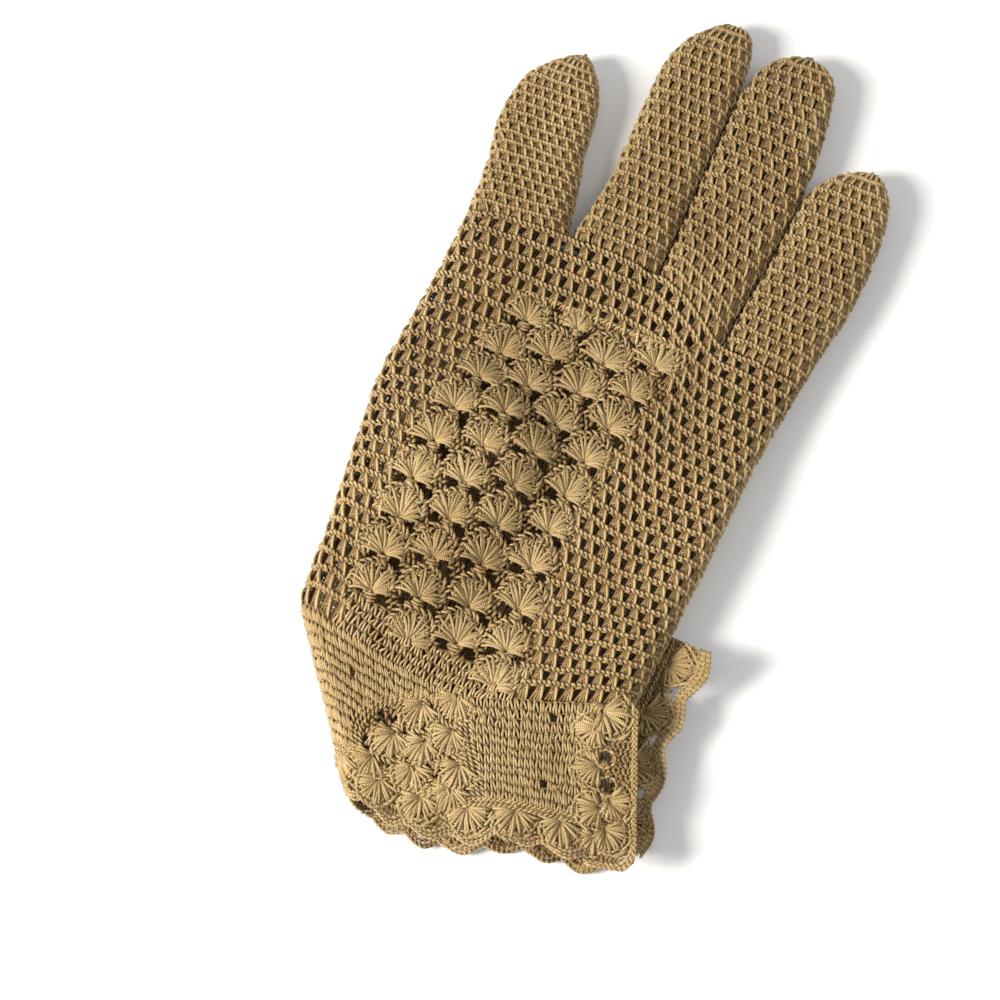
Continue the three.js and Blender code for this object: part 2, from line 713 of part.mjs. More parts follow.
// A border round the hem, whose outer edge is scalloped and ruffled. There is no eyelet at the fold.
function hemEdging() {
  const acrossAt = (u) => lerp(bandVent, -1, u);
  const surface = (u, w) => {
    const lobe = Math.abs(Math.sin(Math.PI * hemScallops * u));
    const reach = 1 - (SCALLOP_DEPTH * (1 - lobe)) / CUFF_LENGTH;
    const [x, y, z] = cuffPoint(acrossAt(u), lerp(hemStart, reach, w));
    return [x, y, z + w * w * ruffle(hemScallops, u * 1.27)];
  };
  const foldClear = (HAND_THICKNESS * 1.1) / PALM_BREADTH;
  const cutters = [];
  for (let i = 1; i < hemScallops; i += 1) {
    const u = i / hemScallops;
    if (Math.abs(acrossAt(u)) > foldClear) {
      cutters.push(borderEyelet(surface(u, 0.38), EYELET_WIDE, EYELET_LONG, 0));
    }
  }
  return cutAll(toSolid(sheet(surface, HEM_STEPS, 3, CUFF_WALL)), cutters);
}

// The same border down the back layer's edge of the vent
function ventEdgingBack() {
  const scallops = Math.round((CUFF_LENGTH * 1.05) / HEM_SCALLOP);
  const surface = (u, w) => {
    const lobe = Math.abs(Math.sin(Math.PI * scallops * w));
    const reach = 1 - (SCALLOP_DEPTH * 0.8 * (1 - lobe)) / PALM_BREADTH;
    const [x, y, z] = cuffPoint(lerp(reach, edgingVent, u), lerp(cuffTop, 1, w));
    return [x, y, z + (1 - u) * ruffle(scallops, w * 1.6)];
  };
  const cutters = [];
  for (let i = 0; i < scallops; i += 1) {
    cutters.push(borderEyelet(surface(0.55, (i + 0.5) / scallops), EYELET_LONG, EYELET_WIDE, EYELET_TURN));
  }
  return cutAll(toSolid(sheet(surface, 4, scallops * 4, CUFF_WALL)), cutters);
}

// The border down the palm layer's edge of the vent. It starts beside the hand, where the vent
// starts, sticks out to the side and curls up.
function ventEdgingPalm() {
  const besideHand = FLAP_START - corners.vent[1];
  const length = besideHand + CUFF_LENGTH * 0.85;
  const handPart = besideHand / length;
  const scallops = Math.round(length / (HEM_SCALLOP * 1.1));
  const clear = PIECE_GAP * 1.5;
  const base = (w) => {
    if (w < handPart) {
      const y = lerp(FLAP_START, corners.vent[1], w / handPart);
      const x = PALM_BREADTH * rightEdge(y / PALM_LENGTH) + clear;
      return [x, y, lerp(HAND_THICKNESS * 0.4, CUFF_WALL / 2, smooth(w / handPart))];
    }
    const s = lerp(0, 0.78, (w - handPart) / (1 - handPart));
    const [x, y, z] = cuffPoint(-1, Math.max(s, cuffTop));
    return [x + clear * (1 + s), y, z];
  };
  const surface = (u, w) => {
    const lobe = Math.abs(Math.sin(Math.PI * scallops * w));
    const [x, y, z] = base(w);
    const width = FLAP_WIDTH * (0.93 - w * 0.1) - SCALLOP_DEPTH * (1 - lobe) * (w > 0.02 ? 1 : 2);
    const curl = FLAP_CURL * (1 - smooth((w - 0.45) / 0.5)) * Math.max(u, 0) ** 1.6;
    return [x + width * u, y - u * RUFFLE, z + curl + u * ruffle(scallops, w + 0.5 / scallops)];
  };
  const cutters = [];
  for (let i = 0; i < scallops; i += 1) {
    cutters.push(borderEyelet(surface(0.42, (i + 0.5) / scallops), EYELET_LONG, EYELET_WIDE, EYELET_TURN));
  }
  return cutAll(toSolid(sheet((u, w) => surface(1 - u, w), 4, scallops * 4, CUFF_WALL)), cutters);
}

// The vent's slit runs on up the hand's edge on the little-finger side
function ventSlit() {
  const shape = new THREE.BoxGeometry(HAND_THICKNESS, FLAP_START + CUFF_LENGTH, PIECE_GAP * 4);
  shape.translate(PALM_BREADTH * 0.44, (FLAP_START - CUFF_LENGTH) / 2, HAND_THICKNESS / 2);
  return toSolid(shape);
}

// The whole glove
const COTTON = { color: 0xb8935a, roughness: 0.72, metalness: 0 };
const pieces = {};

const topSpace = overMiddle();
const handWall = handTube();
const windowSpace = prism(panelOutline(PIECE_GAP), 0, OVER_ALL).intersect(topSpace);
const panelSpace = prism(panelOutline(0), 0, OVER_ALL).intersect(topSpace);
pieces.hand = handWall
  .subtract(windowSpace)
  .subtract(thumbHole(THUMB_THICKNESS, THUMB_THICKNESS + WALL * 1.8))
  .subtract(ventSlit());
pieces.shell_panel = cutAll(handWall.intersect(panelSpace), panelEyelets());
FINGERS.forEach(({ name }, index) => {
  pieces[name] = finger(index);
});
pieces.thumb = thumb();

const cuffWall = cuffSheet();
const wedge = (margin) => prism(insertOutline(margin), 0, OVER_ALL).intersect(topSpace);
pieces.cuff_band = cuffWall.subtract(wedge(PIECE_GAP));
const insertEyelets = INSERT_SHELLS.flatMap(([s, share]) => [-1, 1].map((side) => {
  const [x, y] = onCuff(share + (side * EYELET_REACH) / PALM_BREADTH, s + 0.03);
  return eyelet(x, y, EYELET_WIDE, EYELET_LONG, side * EYELET_TURN);
}));
pieces.cuff_insert = cutAll(cuffWall.intersect(wedge(0)), insertEyelets);
pieces.hem_edging = hemEdging();
pieces.vent_edging_back = ventEdgingBack();
pieces.vent_edging_palm = ventEdgingPalm();

const glove = new THREE.Group();
for (const [name, solid] of Object.entries(pieces)) {
  const mesh = new THREE.Mesh(toGeometry(solid), new THREE.MeshStandardMaterial(COTTON));
  mesh.name = name;
  glove.add(mesh);
}

// The origin is the middle of the whole glove, on the surface that it lies on
const whole = new THREE.Box3().setFromObject(glove);
const centre = whole.getCenter(new THREE.Vector3());
glove.position.set(-centre.x, -centre.y, -whole.min.z);

export default glove;
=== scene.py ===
"""A crocheted cotton dress glove, lying flat with the back of the hand up, worked thread by thread.

Every piece is made of threads: tubes carried along paths that are drawn once, in the plane of one
stitch, and laid stitch by stitch on the curved cloth of the glove. Lengths are in millimetres until a
mesh is made.
"""
import math

import bpy
import numpy as np
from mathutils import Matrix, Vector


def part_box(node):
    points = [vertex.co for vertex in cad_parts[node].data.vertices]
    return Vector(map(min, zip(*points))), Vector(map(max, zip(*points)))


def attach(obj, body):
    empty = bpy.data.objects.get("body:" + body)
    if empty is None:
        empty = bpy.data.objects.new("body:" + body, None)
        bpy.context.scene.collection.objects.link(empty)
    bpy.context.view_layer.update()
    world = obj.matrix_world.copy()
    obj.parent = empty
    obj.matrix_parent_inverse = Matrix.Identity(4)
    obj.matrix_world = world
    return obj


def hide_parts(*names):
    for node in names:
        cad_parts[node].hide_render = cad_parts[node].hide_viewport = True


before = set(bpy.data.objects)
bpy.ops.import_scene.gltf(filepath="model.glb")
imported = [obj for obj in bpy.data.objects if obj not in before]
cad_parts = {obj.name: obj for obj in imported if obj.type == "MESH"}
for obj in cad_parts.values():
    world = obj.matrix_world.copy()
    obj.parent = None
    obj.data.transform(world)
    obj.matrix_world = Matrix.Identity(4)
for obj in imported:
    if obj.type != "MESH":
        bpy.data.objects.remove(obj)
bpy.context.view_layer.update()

MM = 0.001

# Sizes of the cloth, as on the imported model
PALM_BREADTH = 91.0
PALM_LENGTH = 106.0
HAND_THICKNESS = 13.0
KNUCKLE_THICKNESS = 10.6
FINGER_THICKNESS = 9.6
WALL = 1.8
INSET = WALL / 2
SEAM_GAP = 0.6
WEB_DENT = 1.3
WEB_WIDTH = 4.5
WEB_LENGTH = 0.26
TIP_START = 0.78
TIP_SPAN = 0.235
TIP_DROP = 0.9
FINGER_LENGTHS = {
    "index_finger": 51.0, "middle_finger": 73.5, "ring_finger": 77.0, "little_finger": 61.0,
}
THUMB_LENGTH = 50.0
THUMB_BREADTH = 21.0
THUMB_THICKNESS = 8.4
THUMB_LEAN = 0.22
BACK_RISE = 5.0
LIFT_START = 2.0
LIFT_WIDTH = 15.0
PIECE_GAP = 0.3
SHELL_PITCH = 10.9
SHELL_ROW = 9.8
SHELL_COLUMNS = 4
PANEL_MARGIN = 6.0
CUFF_LENGTH = 33.0
CUFF_WALL = 2.0
HEM_BAND = 9.5
VENT_BAND = 13.5
HEM_SCALLOP = 10.8
RUFFLE = 1.5
HEM_WAVE = 1.27
VENT_SCALLOPS = 3
VENT_WAVE = 1.6
FLAP_WIDTH = 12.0
FLAP_START = 24.0
FLAP_CURL = 5.0
FLAP_END = 0.78
SCALLOP_DEPTH = 2.6
VENT_DROOP = 3.0
PALM_NARROWER = 0.1

# Threads: half their thickness, and how much they differ from each other by chance
THREAD = 0.33
THREAD_UNEVEN = (0.88, 1.1)
THREAD_END = 0.75
TONE_UNEVEN = 0.5

# The hand's net. Its rows hang lower to both sides of a middle: by the arc at the half breadth
NET_WIDE = 3.55
NET_TALL = 4.3
NET_LEAN = -0.54
ROW_ARC = 2.5
ARC_MIDDLE = -9.0
ARC_HALF = 44.0

# Outlines, as shares: hand [along, left, right], wrist and knuckle lines [across, along]
HAND_EDGES = [
    [0, -0.461, 0.427], [0.14, -0.466, 0.438], [0.3, -0.492, 0.45], [0.45, -0.519, 0.46],
    [0.56, -0.534, 0.466], [0.7, -0.524, 0.472], [0.86, -0.512, 0.488], [1, -0.51, 0.506],
]
WRIST_LINE = [
    [-0.461, -0.028], [-0.3, -0.055], [-0.16, -0.075], [-0.01, -0.087], [0.11, -0.062],
    [0.25, -0.018], [0.427, 0.033],
]
KNUCKLE_LINE = [
    [-0.51, 0.985], [-0.224, 1.008], [0.04, 0.999], [0.16, 0.955], [0.27, 0.893], [0.506, 0.868],
]
CROTCHES = [-0.224, 0.04, 0.27]

# Outline of each finger: [along, drift of its middle, breadth], as shares of its length and root
FINGER_OUTLINES = {
    "index_finger": [
        [0, 0, 1], [0.3, -0.074, 0.93], [0.55, -0.167, 0.92], [0.75, -0.171, 0.82],
        [0.87, -0.149, 0.58], [0.96, -0.12, 0.28], [1, -0.094, 0],
    ],
    "middle_finger": [
        [0, 0, 1], [0.17, 0.043, 0.92], [0.32, 0.06, 0.87], [0.55, 0.06, 0.88], [0.75, 0.064, 0.87],
        [0.86, 0.1, 0.77], [0.93, 0.15, 0.58], [0.98, 0.19, 0.35], [1, 0.196, 0],
    ],
    "ring_finger": [
        [0, 0, 1], [0.2, 0.046, 1.09], [0.4, 0.083, 1.165], [0.6, 0.097, 1.19], [0.75, 0.085, 1.15],
        [0.86, 0.083, 1.03], [0.93, 0.104, 0.87], [0.98, 0.136, 0.45], [1, 0.146, 0],
    ],
    "little_finger": [
        [0, 0, 1], [0.2, 0.063, 1.066], [0.4, 0.15, 1.1], [0.6, 0.188, 1.08], [0.75, 0.195, 1.04],
        [0.86, 0.223, 0.89], [0.93, 0.268, 0.64], [0.98, 0.324, 0.28], [1, 0.347, 0],
    ],
}
THUMB_OUTLINE = [
    [0, 0, 0.35], [0.04, 0.52, 0.75], [0.12, 0.84, 1], [0.3, 1, 1], [0.6, 0.98, 1], [0.8, 0.86, 1],
    [0.92, 0.58, 0.8], [0.98, 0.3, 0.5], [1, 0, 0.35],
]
PANEL_BOW = [[-0.1, 0.045], [0.08, 0.018], [0.34, 0], [0.6, 0.035], [0.85, 0.1]]
HEM_BULGE = [[0, 0], [0.15, 0.14], [0.3, 0.19], [0.45, 0.16], [0.6, 0.06], [0.8, 0.07], [1, 0.03]]
FOLD_WAY = (0.85, -1.09)
VENT_WAY = (0.412, -1.02)

# Wedge of shells in the cuff: [down, left, right] and its shells' starts [down, across], as shares
INSERT_EDGES = [
    [0, 0.5, 0.56], [0.1, 0.43, 0.57], [0.24, 0.31, 0.56], [0.36, 0.225, 0.555], [0.6, 0.13, 0.555],
    [1.2, 0.1, 0.555],
]
INSERT_SHELLS = [
    [0.03, 0.54], [0.18, 0.42], [0.28, 0.5], [0.45, 0.3], [0.42, 0.4], [0.5, 0.5], [0.6, 0.345],
    [0.66, 0.46], [0.66, 0.2],
]


def lerp(a, b, share):
    return a + (b - a) * share


def smooth(share):
    """Ease from 0 to 1: 3 s squared less 2 s cubed, held at both ends."""
    s = np.clip(share, 0.0, 1.0)
    return s * s * (3 - 2 * s)


def curve(rows, column):
    """A smooth curve through a table's rows: cubic pieces whose slope at a row is the harmonic mean of
    those on its two sides, and 0 where they turn."""
    xs = np.array([row[0] for row in rows], float)
    ys = np.array([row[column] for row in rows], float)
    steps = np.diff(ys) / np.diff(xs)
    before, after = steps[:-1], steps[1:]
    both = before + after
    inner = np.where(before * after > 0, 2 * before * after / np.where(both == 0, 1, both), 0)
    slopes = np.concatenate([[steps[0]], inner, [steps[-1]]])

    def at(x):
        x = np.clip(x, xs[0], xs[-1])
        i = np.clip(np.searchsorted(xs, x) - 1, 0, len(xs) - 2)
        span = xs[i + 1] - xs[i]
        t = (x - xs[i]) / span
        return ((2 * t**3 - 3 * t**2 + 1) * ys[i] + (t**3 - 2 * t**2 + t) * span * slopes[i]
                + (3 * t**2 - 2 * t**3) * ys[i + 1] + (t**3 - t**2) * span * slopes[i + 1])

    return at


left_edge = curve(HAND_EDGES, 1)
right_edge = curve(HAND_EDGES, 2)
wrist_share = curve(WRIST_LINE, 1)
knuckle_share = curve(KNUCKLE_LINE, 1)
panel_bow = curve(PANEL_BOW, 1)
hem_bulge = curve(HEM_BULGE, 1)


def wrist_y(x):
    return PALM_LENGTH * wrist_share(x / PALM_BREADTH)


def knuckle_y(x):
    return PALM_LENGTH * knuckle_share(x / PALM_BREADTH)


# Cloth over the folded thumb
THUMB_ROOT = np.array([PALM_BREADTH * HAND_EDGES[0][1] + THUMB_BREADTH * 0.52, PALM_LENGTH * 0.045])
THUMB_WAY = np.array([math.sin(THUMB_LEAN), math.cos(THUMB_LEAN)])
THUMB_SIDE = np.array([THUMB_WAY[1], -THUMB_WAY[0]])


def thumb_lift(x, y):
    """1 over the thumb, falling smoothly to 0 with the distance from its middle line."""
    radius = THUMB_BREADTH / 2
    dx, dy = x - THUMB_ROOT[0], y - THUMB_ROOT[1]
    along = np.clip(dx * THUMB_WAY[0] + dy * THUMB_WAY[1], radius, THUMB_LENGTH - radius)
    away = np.hypot(dx - along * THUMB_WAY[0], dy - along * THUMB_WAY[1]) - radius
    return 1 - smooth((away - LIFT_START) / LIFT_WIDTH)


def settle(x, y, z, thickness, inset):
    """Height of the cloth: its own in the slab, stretched between the lifted palm and back."""
    lift = thumb_lift(x, y)
    low = (THUMB_THICKNESS + PIECE_GAP) * lift + inset
    high = thickness + BACK_RISE * lift - inset
    return low + (z - inset) / (thickness - 2 * inset) * (high - low)


def slab(u, left, right, low, high):
    """Point of a flat tube's section at a share u of its length round, from the middle of the bottom to
    the left edge, over the top and back: straight runs joined by half circles."""
    radius = np.minimum((high - low) / 2, (right - left) / 2)
    middle = (high + low) / 2
    flat = np.maximum(right - left - 2 * radius, 0)
    arc = math.pi * radius
    run = np.mod(u, 1.0) * (2 * flat + 2 * arc)
    centre = (left + right) / 2
    first = np.clip((run - flat / 2) / arc, 0, 1) * math.pi
    second = np.clip((run - 1.5 * flat - arc) / arc, 0, 1) * math.pi
    bottom = np.minimum(run, flat / 2) + np.maximum(run - 1.5 * flat - 2 * arc, 0)
    top = np.clip(run - flat / 2 - arc, 0, flat)
    x = centre + top - bottom + radius * (np.sin(second) - np.sin(first))
    z = middle - (high - low) / 2 * np.where(second > 0, -np.cos(second), np.cos(first))
    return x, z


def web_dent(x, y):
    """Valleys down from the webs between the fingers: bells across, eased out down the hand."""
    total = 0
    for crotch in CROTCHES:
        web = crotch * PALM_BREADTH
        near = np.exp(-(((x - web) / WEB_WIDTH) ** 2))
        total = total + WEB_DENT * near * smooth(1 - (knuckle_y(web) - y) / (PALM_LENGTH * WEB_LENGTH))
    return total


def hand_thickness(v):
    """The hand thins from its middle to the knuckles."""
    return lerp(HAND_THICKNESS, KNUCKLE_THICKNESS, smooth((v - 0.45) / 0.55))


def hand_cloth(u, v):
    """Mid-wall of the hand at a share u round and v from the wrist line to the knuckle line."""
    thickness = hand_thickness(v)
    left = PALM_BREADTH * left_edge(v) + INSET
    right = PALM_BREADTH * right_edge(v) - INSET
    x, z = slab(u, left, right, INSET, thickness - INSET)
    y = lerp(wrist_y(x), knuckle_y(x), v)
    top = smooth((z / thickness - 0.5) * 2)
    return np.stack([x, y, settle(x, y, z, thickness, INSET) - web_dent(x, y) * top], -1)


def hand_rows(u, v):
    """The hand's cloth by rows of stitches, which arch: away from the middle they hang lower by the
    square of the distance, but for the first and last rows."""
    x = hand_cloth(u, v)[..., 0]
    arch = (ROW_ARC / PALM_LENGTH) * ((x - ARC_MIDDLE) / ARC_HALF) ** 2
    return hand_cloth(u, v - arch * smooth(v / 0.3) * smooth((1 - v) / 0.25))


def back_cloth(x, y):
    """Mid-wall of the back of the hand over a place in the plane."""
    thickness = hand_thickness((y - wrist_y(x)) / (knuckle_y(x) - wrist_y(x)))
    z = settle(x, y, thickness - INSET, thickness, INSET) - web_dent(x, y)
    return np.stack([x, y, z], -1)


FINGERS = list(FINGER_OUTLINES)
ROOT_EDGES = [PALM_BREADTH * share for share in (HAND_EDGES[-1][1], *CROTCHES, HAND_EDGES[-1][2])]


def finger_edge(name, share, side):
    """Left or right edge of a finger: its middle's drift and half its breadth, whose square is eased."""
    i = FINGERS.index(name)
    root = ROOT_EDGES[i + 1] - ROOT_EDGES[i]
    outline = FINGER_OUTLINES[name]
    middle = (ROOT_EDGES[i + 1] + ROOT_EDGES[i]) / 2 + root * curve(outline, 1)(share)
    squares = [[along, 0, breadth**2] for along, _, breadth in outline]
    return middle + side * root * np.sqrt(np.maximum(curve(squares, 2)(share), 0)) / 2


def finger_root(name):
    i = FINGERS.index(name)
    return knuckle_y((ROOT_EDGES[i] + ROOT_EDGES[i + 1]) / 2) + SEAM_GAP


def finger_y(name, share, x):
    """How far up a point is: the root follows the knuckle line and the tip is square across."""
    root = finger_root(name)
    return root + FINGER_LENGTHS[name] * share + (knuckle_y(x) + SEAM_GAP - root) * (1 - share) ** 2


def seam_limit(name, share, side):
    """Edge of a finger where it meets its neighbour: half way between the edges both would have, and
    its own edge beyond the neighbour's tip."""
    own = finger_edge(name, share, side)
    i = FINGERS.index(name) + side
    if i < 0 or i >= len(FINGERS):
        return own
    other = FINGERS[i]
    y = finger_y(name, share, own)
    places = np.linspace(0, 1, 400)
    beside = finger_edge(other, places, -side)
    beside_at = np.interp(y, finger_y(other, places, beside), beside)
    past = y > finger_root(other) + FINGER_LENGTHS[other]
    limit = (own + beside_at) / 2 - side * SEAM_GAP / 2
    return np.where(past, own, side * np.minimum(side * own, side * limit))


def finger_cloth(name):
    """Mid-wall of a finger: slabs whose thickness rounds off to nothing at the tip."""
    places = np.linspace(0, 1, 200)
    edges = []
    for side in (-1, 1):
        limit = seam_limit(name, places, side)
        meets = side * limit < side * finger_edge(name, places, side)
        edges.append(limit + side * (INSET - SEAM_GAP) * meets)

    def cloth(u, v):
        share = np.clip(v, 0, 0.998)
        thickness = lerp(KNUCKLE_THICKNESS, FINGER_THICKNESS, smooth(share * 2))
        tip = np.sqrt(np.maximum(1 - np.clip((share - TIP_START) / TIP_SPAN, 0, 1) ** 2, 0))
        half = np.maximum(thickness / 2 * tip - INSET, 0.15)
        middle = thickness / 2 - (1 - tip) * TIP_DROP
        left = np.interp(share, places, edges[0]) + INSET
        right = np.interp(share, places, edges[1]) - INSET
        thin = np.maximum(0.3 - (right - left) / 2, 0)
        x, z = slab(u, left - thin, right + thin, middle - half, middle + half)
        return np.stack([x, finger_y(name, share, x), z], -1)

    return cloth


def thumb_cloth(u, v):
    """Mid-wall of the thumb, lying slanted under the palm."""
    share = np.clip(v, 0.01, 0.99)
    along = THUMB_LENGTH * share
    half = np.maximum(THUMB_BREADTH * curve(THUMB_OUTLINE, 1)(share) / 2 - INSET, 0.3)
    high = np.maximum(THUMB_THICKNESS * curve(THUMB_OUTLINE, 2)(share) - INSET, INSET + 0.4)
    side, z = slab(u, -half, half, INSET + 0 * half, high)
    x = THUMB_ROOT[0] + along * THUMB_WAY[0] + side * THUMB_SIDE[0]
    y = THUMB_ROOT[1] + along * THUMB_WAY[1] + side * THUMB_SIDE[1]
    return np.stack([x, y, z], -1)


FOLD_CORNER = (PALM_BREADTH * WRIST_LINE[0][0], PALM_LENGTH * WRIST_LINE[0][1])
VENT_CORNER = (PALM_BREADTH * WRIST_LINE[-1][0], PALM_LENGTH * WRIST_LINE[-1][1])


def cuff_cloth(p, q):
    """Mid-wall of the cuff, a C in section: straight layers joined by a half circle, on a line from the
    fold to the vent that slides down and aside. p runs along it in millimetres, 0 at the fold and above
    0 on the back layer; q is 0 at the wrist line and minus the cuff's length at the hem."""
    v, s = np.broadcast_arrays(np.asarray(p, float) / PALM_BREADTH, -np.asarray(q, float) / CUFF_LENGTH)
    fold_x, fold_y = [start + way * CUFF_LENGTH * s for start, way in zip(FOLD_CORNER, FOLD_WAY)]
    vent_x, vent_y = [start + way * CUFF_LENGTH * s for start, way in zip(VENT_CORNER, VENT_WAY)]
    breadth = np.hypot(vent_x - fold_x, vent_y - fold_y)
    radius = (HAND_THICKNESS - CUFF_WALL) / 2
    quarter = math.pi / 2 * radius
    narrower = np.where(v < 0, PALM_NARROWER * breadth * s, 0)
    run = np.abs(v) * (quarter + breadth - HAND_THICKNESS / 2 - narrower)
    turn = np.minimum(run / radius, math.pi / 2)
    out = HAND_THICKNESS / 2 - radius * np.cos(turn) + np.maximum(run - quarter, 0)
    z = HAND_THICKNESS / 2 + np.sign(v) * radius * np.sin(turn)
    share = out / breadth
    x = lerp(fold_x, vent_x, share)
    wrist_x = lerp(FOLD_CORNER[0], VENT_CORNER[0], share)
    dip = wrist_y(wrist_x) - lerp(FOLD_CORNER[1], VENT_CORNER[1], share)
    y = lerp(fold_y, vent_y, share) + lerp(dip, -hem_bulge(share) * CUFF_LENGTH, s)
    droop = np.where(v > 0, VENT_DROOP * s * smooth((share - 0.7) / 0.3), 0)
    return np.stack([x, y, settle(x, y, z, HAND_THICKNESS, CUFF_WALL / 2) - droop], -1)


# The cuff's parts along it, and its border's scallops
BACK_END = PALM_BREADTH - VENT_BAND
PALM_END = -PALM_BREADTH
HEM_ROUND = (VENT_CORNER[0] - FOLD_CORNER[0]) * ((BACK_END - PALM_END) / PALM_BREADTH - PALM_NARROWER)
HEM_SCALLOPS = round(HEM_ROUND / HEM_SCALLOP)
HEM_TOP = -(CUFF_LENGTH - HEM_BAND)


def ruffled(share):
    """How far a border is ruffled up at a share of its length, in scallops."""
    return RUFFLE * (0.5 + 0.5 * np.sin(math.pi * share))


def raised(places, height):
    return places + height[..., None] * [0, 0, 1]


def hem_scallop(p):
    """How many scallops a place along the hem is from the back layer's end."""
    return HEM_SCALLOPS * (BACK_END - p) / (BACK_END - PALM_END)


def hem_cloth(p, q):
    """The cuff near the hem, ruffled up towards its edge."""
    edge = np.clip((HEM_TOP - q) / HEM_BAND, 0, 1)
    return raised(cuff_cloth(p, q), edge**2 * ruffled(hem_scallop(p) * HEM_WAVE))


def vent_cloth(p, q):
    """The cuff near the back layer's vent edge, ruffled up towards it."""
    edge = np.clip((p - BACK_END) / VENT_BAND, 0, 1)
    share = -VENT_SCALLOPS * q / CUFF_LENGTH
    return raised(cuff_cloth(p, q), edge * ruffled(share * VENT_WAVE))


FLAP_BESIDE = FLAP_START - VENT_CORNER[1]
FLAP_LENGTH = FLAP_BESIDE + CUFF_LENGTH * 0.85
FLAP_SCALLOPS = round(FLAP_LENGTH / (HEM_SCALLOP * 1.1))


def flap_cloth(p, q):
    """The border on the palm layer's vent edge: p out from the edge, q up along it from its lower end.
    Beside the hand it starts half way up the side, and its outer edge curls up towards the fingers."""
    p, q = np.broadcast_arrays(np.asarray(p, float), np.asarray(q, float))
    w = 1 - q / FLAP_LENGTH
    part = FLAP_BESIDE / FLAP_LENGTH
    clear = PIECE_GAP * 1.5
    hand_share = np.clip(w / part, 0, 1)
    hand_y = lerp(FLAP_START, VENT_CORNER[1], hand_share)
    hand_x = PALM_BREADTH * right_edge(hand_y / PALM_LENGTH) + clear
    hand_z = lerp(HAND_THICKNESS * 0.4, CUFF_WALL / 2, smooth(hand_share))
    s = FLAP_END * np.clip((w - part) / (1 - part), 0.02, 1)
    on_cuff = cuff_cloth(PALM_END + 0 * s, -s * CUFF_LENGTH)
    low = w > part
    x = np.where(low, on_cuff[..., 0] + clear * (1 + s), hand_x)
    y = np.where(low, on_cuff[..., 1], hand_y)
    z = np.where(low, on_cuff[..., 2], hand_z)
    lobe = np.sqrt(0.94 * np.sin(math.pi * FLAP_SCALLOPS * w) ** 2 + 0.06)
    width = FLAP_WIDTH * (0.93 - w * 0.1) - SCALLOP_DEPTH * (1 - lobe)
    share = p / FLAP_WIDTH
    curl = FLAP_CURL * (1 - smooth((w - 0.45) / 0.5)) * np.maximum(share, 0) ** 1.6
    ruffle = share * ruffled(FLAP_SCALLOPS * w + 0.5)
    return np.stack([x + width * share, y - share * RUFFLE, z + curl + ruffle], -1)


# Where the drawing's zero, the middle of the wrist, lies in the frame
SHIFT = np.array([
    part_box("hand")[0][0] / MM - PALM_BREADTH * min(row[1] for row in HAND_EDGES),
    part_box("middle_finger")[1][1] / MM - finger_root("middle_finger") - FINGER_LENGTHS["middle_finger"],
    0.0,
])


# Threads


def unit(vectors):
    return vectors / np.maximum(np.linalg.norm(vectors, axis=-1, keepdims=True), 1e-9)


def outward_of(cloth, u, v, step):
    """Outward normal of the cloth: the cross product of its two slopes, by small differences."""
    across = cloth(u + step, v) - cloth(u - step, v)
    along = cloth(u, v + step) - cloth(u, v - step)
    return unit(np.cross(across, along))


class Work:
    """The threads of one piece: rows of places, the cloth's normals there, a half thickness, a tone."""

    def __init__(self, seed):
        self.parts = []
        self.random = np.random.default_rng(seed)

    def add(self, places, outward, thickness, tone):
        """places and outward are arrays of threads by steps by 3. Each thread is a little thicker or
        thinner, lighter or darker than the next by chance, and thinner at its ends."""
        count, steps = places.shape[:2]
        radius = THREAD * thickness * self.random.uniform(*THREAD_UNEVEN, (count, 1))
        radius = np.broadcast_to(radius, (count, steps)).copy()
        radius[:, [0, -1]] *= THREAD_END
        tones = tone + self.random.uniform(-TONE_UNEVEN, TONE_UNEVEN, count)
        self.parts.append((places, outward, radius, tones))


def wander(random, rounds, rows, amount):
    """Uneven hand work: a seeded grid of small shifts, blended evenly between its points."""
    shifts = random.normal(0, amount, (rows + 4, rounds + 1, 2))
    shifts[:, -1] = shifts[:, 0]

    def at(column, row):
        c = np.mod(column, rounds)
        r = np.clip(row + 1, 0, rows + 2.999)
        i = np.minimum(np.floor(c).astype(int), rounds - 1)
        j = np.floor(r).astype(int)
        fu, fv = smooth(c - i)[..., None], smooth(r - j)[..., None]
        low = lerp(shifts[j, i], shifts[j, i + 1], fu)
        high = lerp(shifts[j + 1, i], shifts[j + 1, i + 1], fu)
        return np.moveaxis(lerp(low, high, fv), -1, 0)

    return at


def spline(points, steps):
    """A thread's path through a few points [across, up, out]: an even Catmull-Rom curve."""
    p = np.asarray(points, float)
    p = np.concatenate([[2 * p[0] - p[1]], p, [2 * p[-1] - p[-2]]])
    t = np.linspace(0, len(points) - 1, steps)
    i = np.minimum(t.astype(int), len(points) - 2)
    f = (t - i)[:, None]
    a, b, c, d = p[i], p[i + 1], p[i + 2], p[i + 3]
    bent = (2 * a - 5 * b + 4 * c - d) * f**2 + (3 * b - a - 3 * c + d) * f**3
    return 0.5 * (2 * b + (c - a) * f + bent)


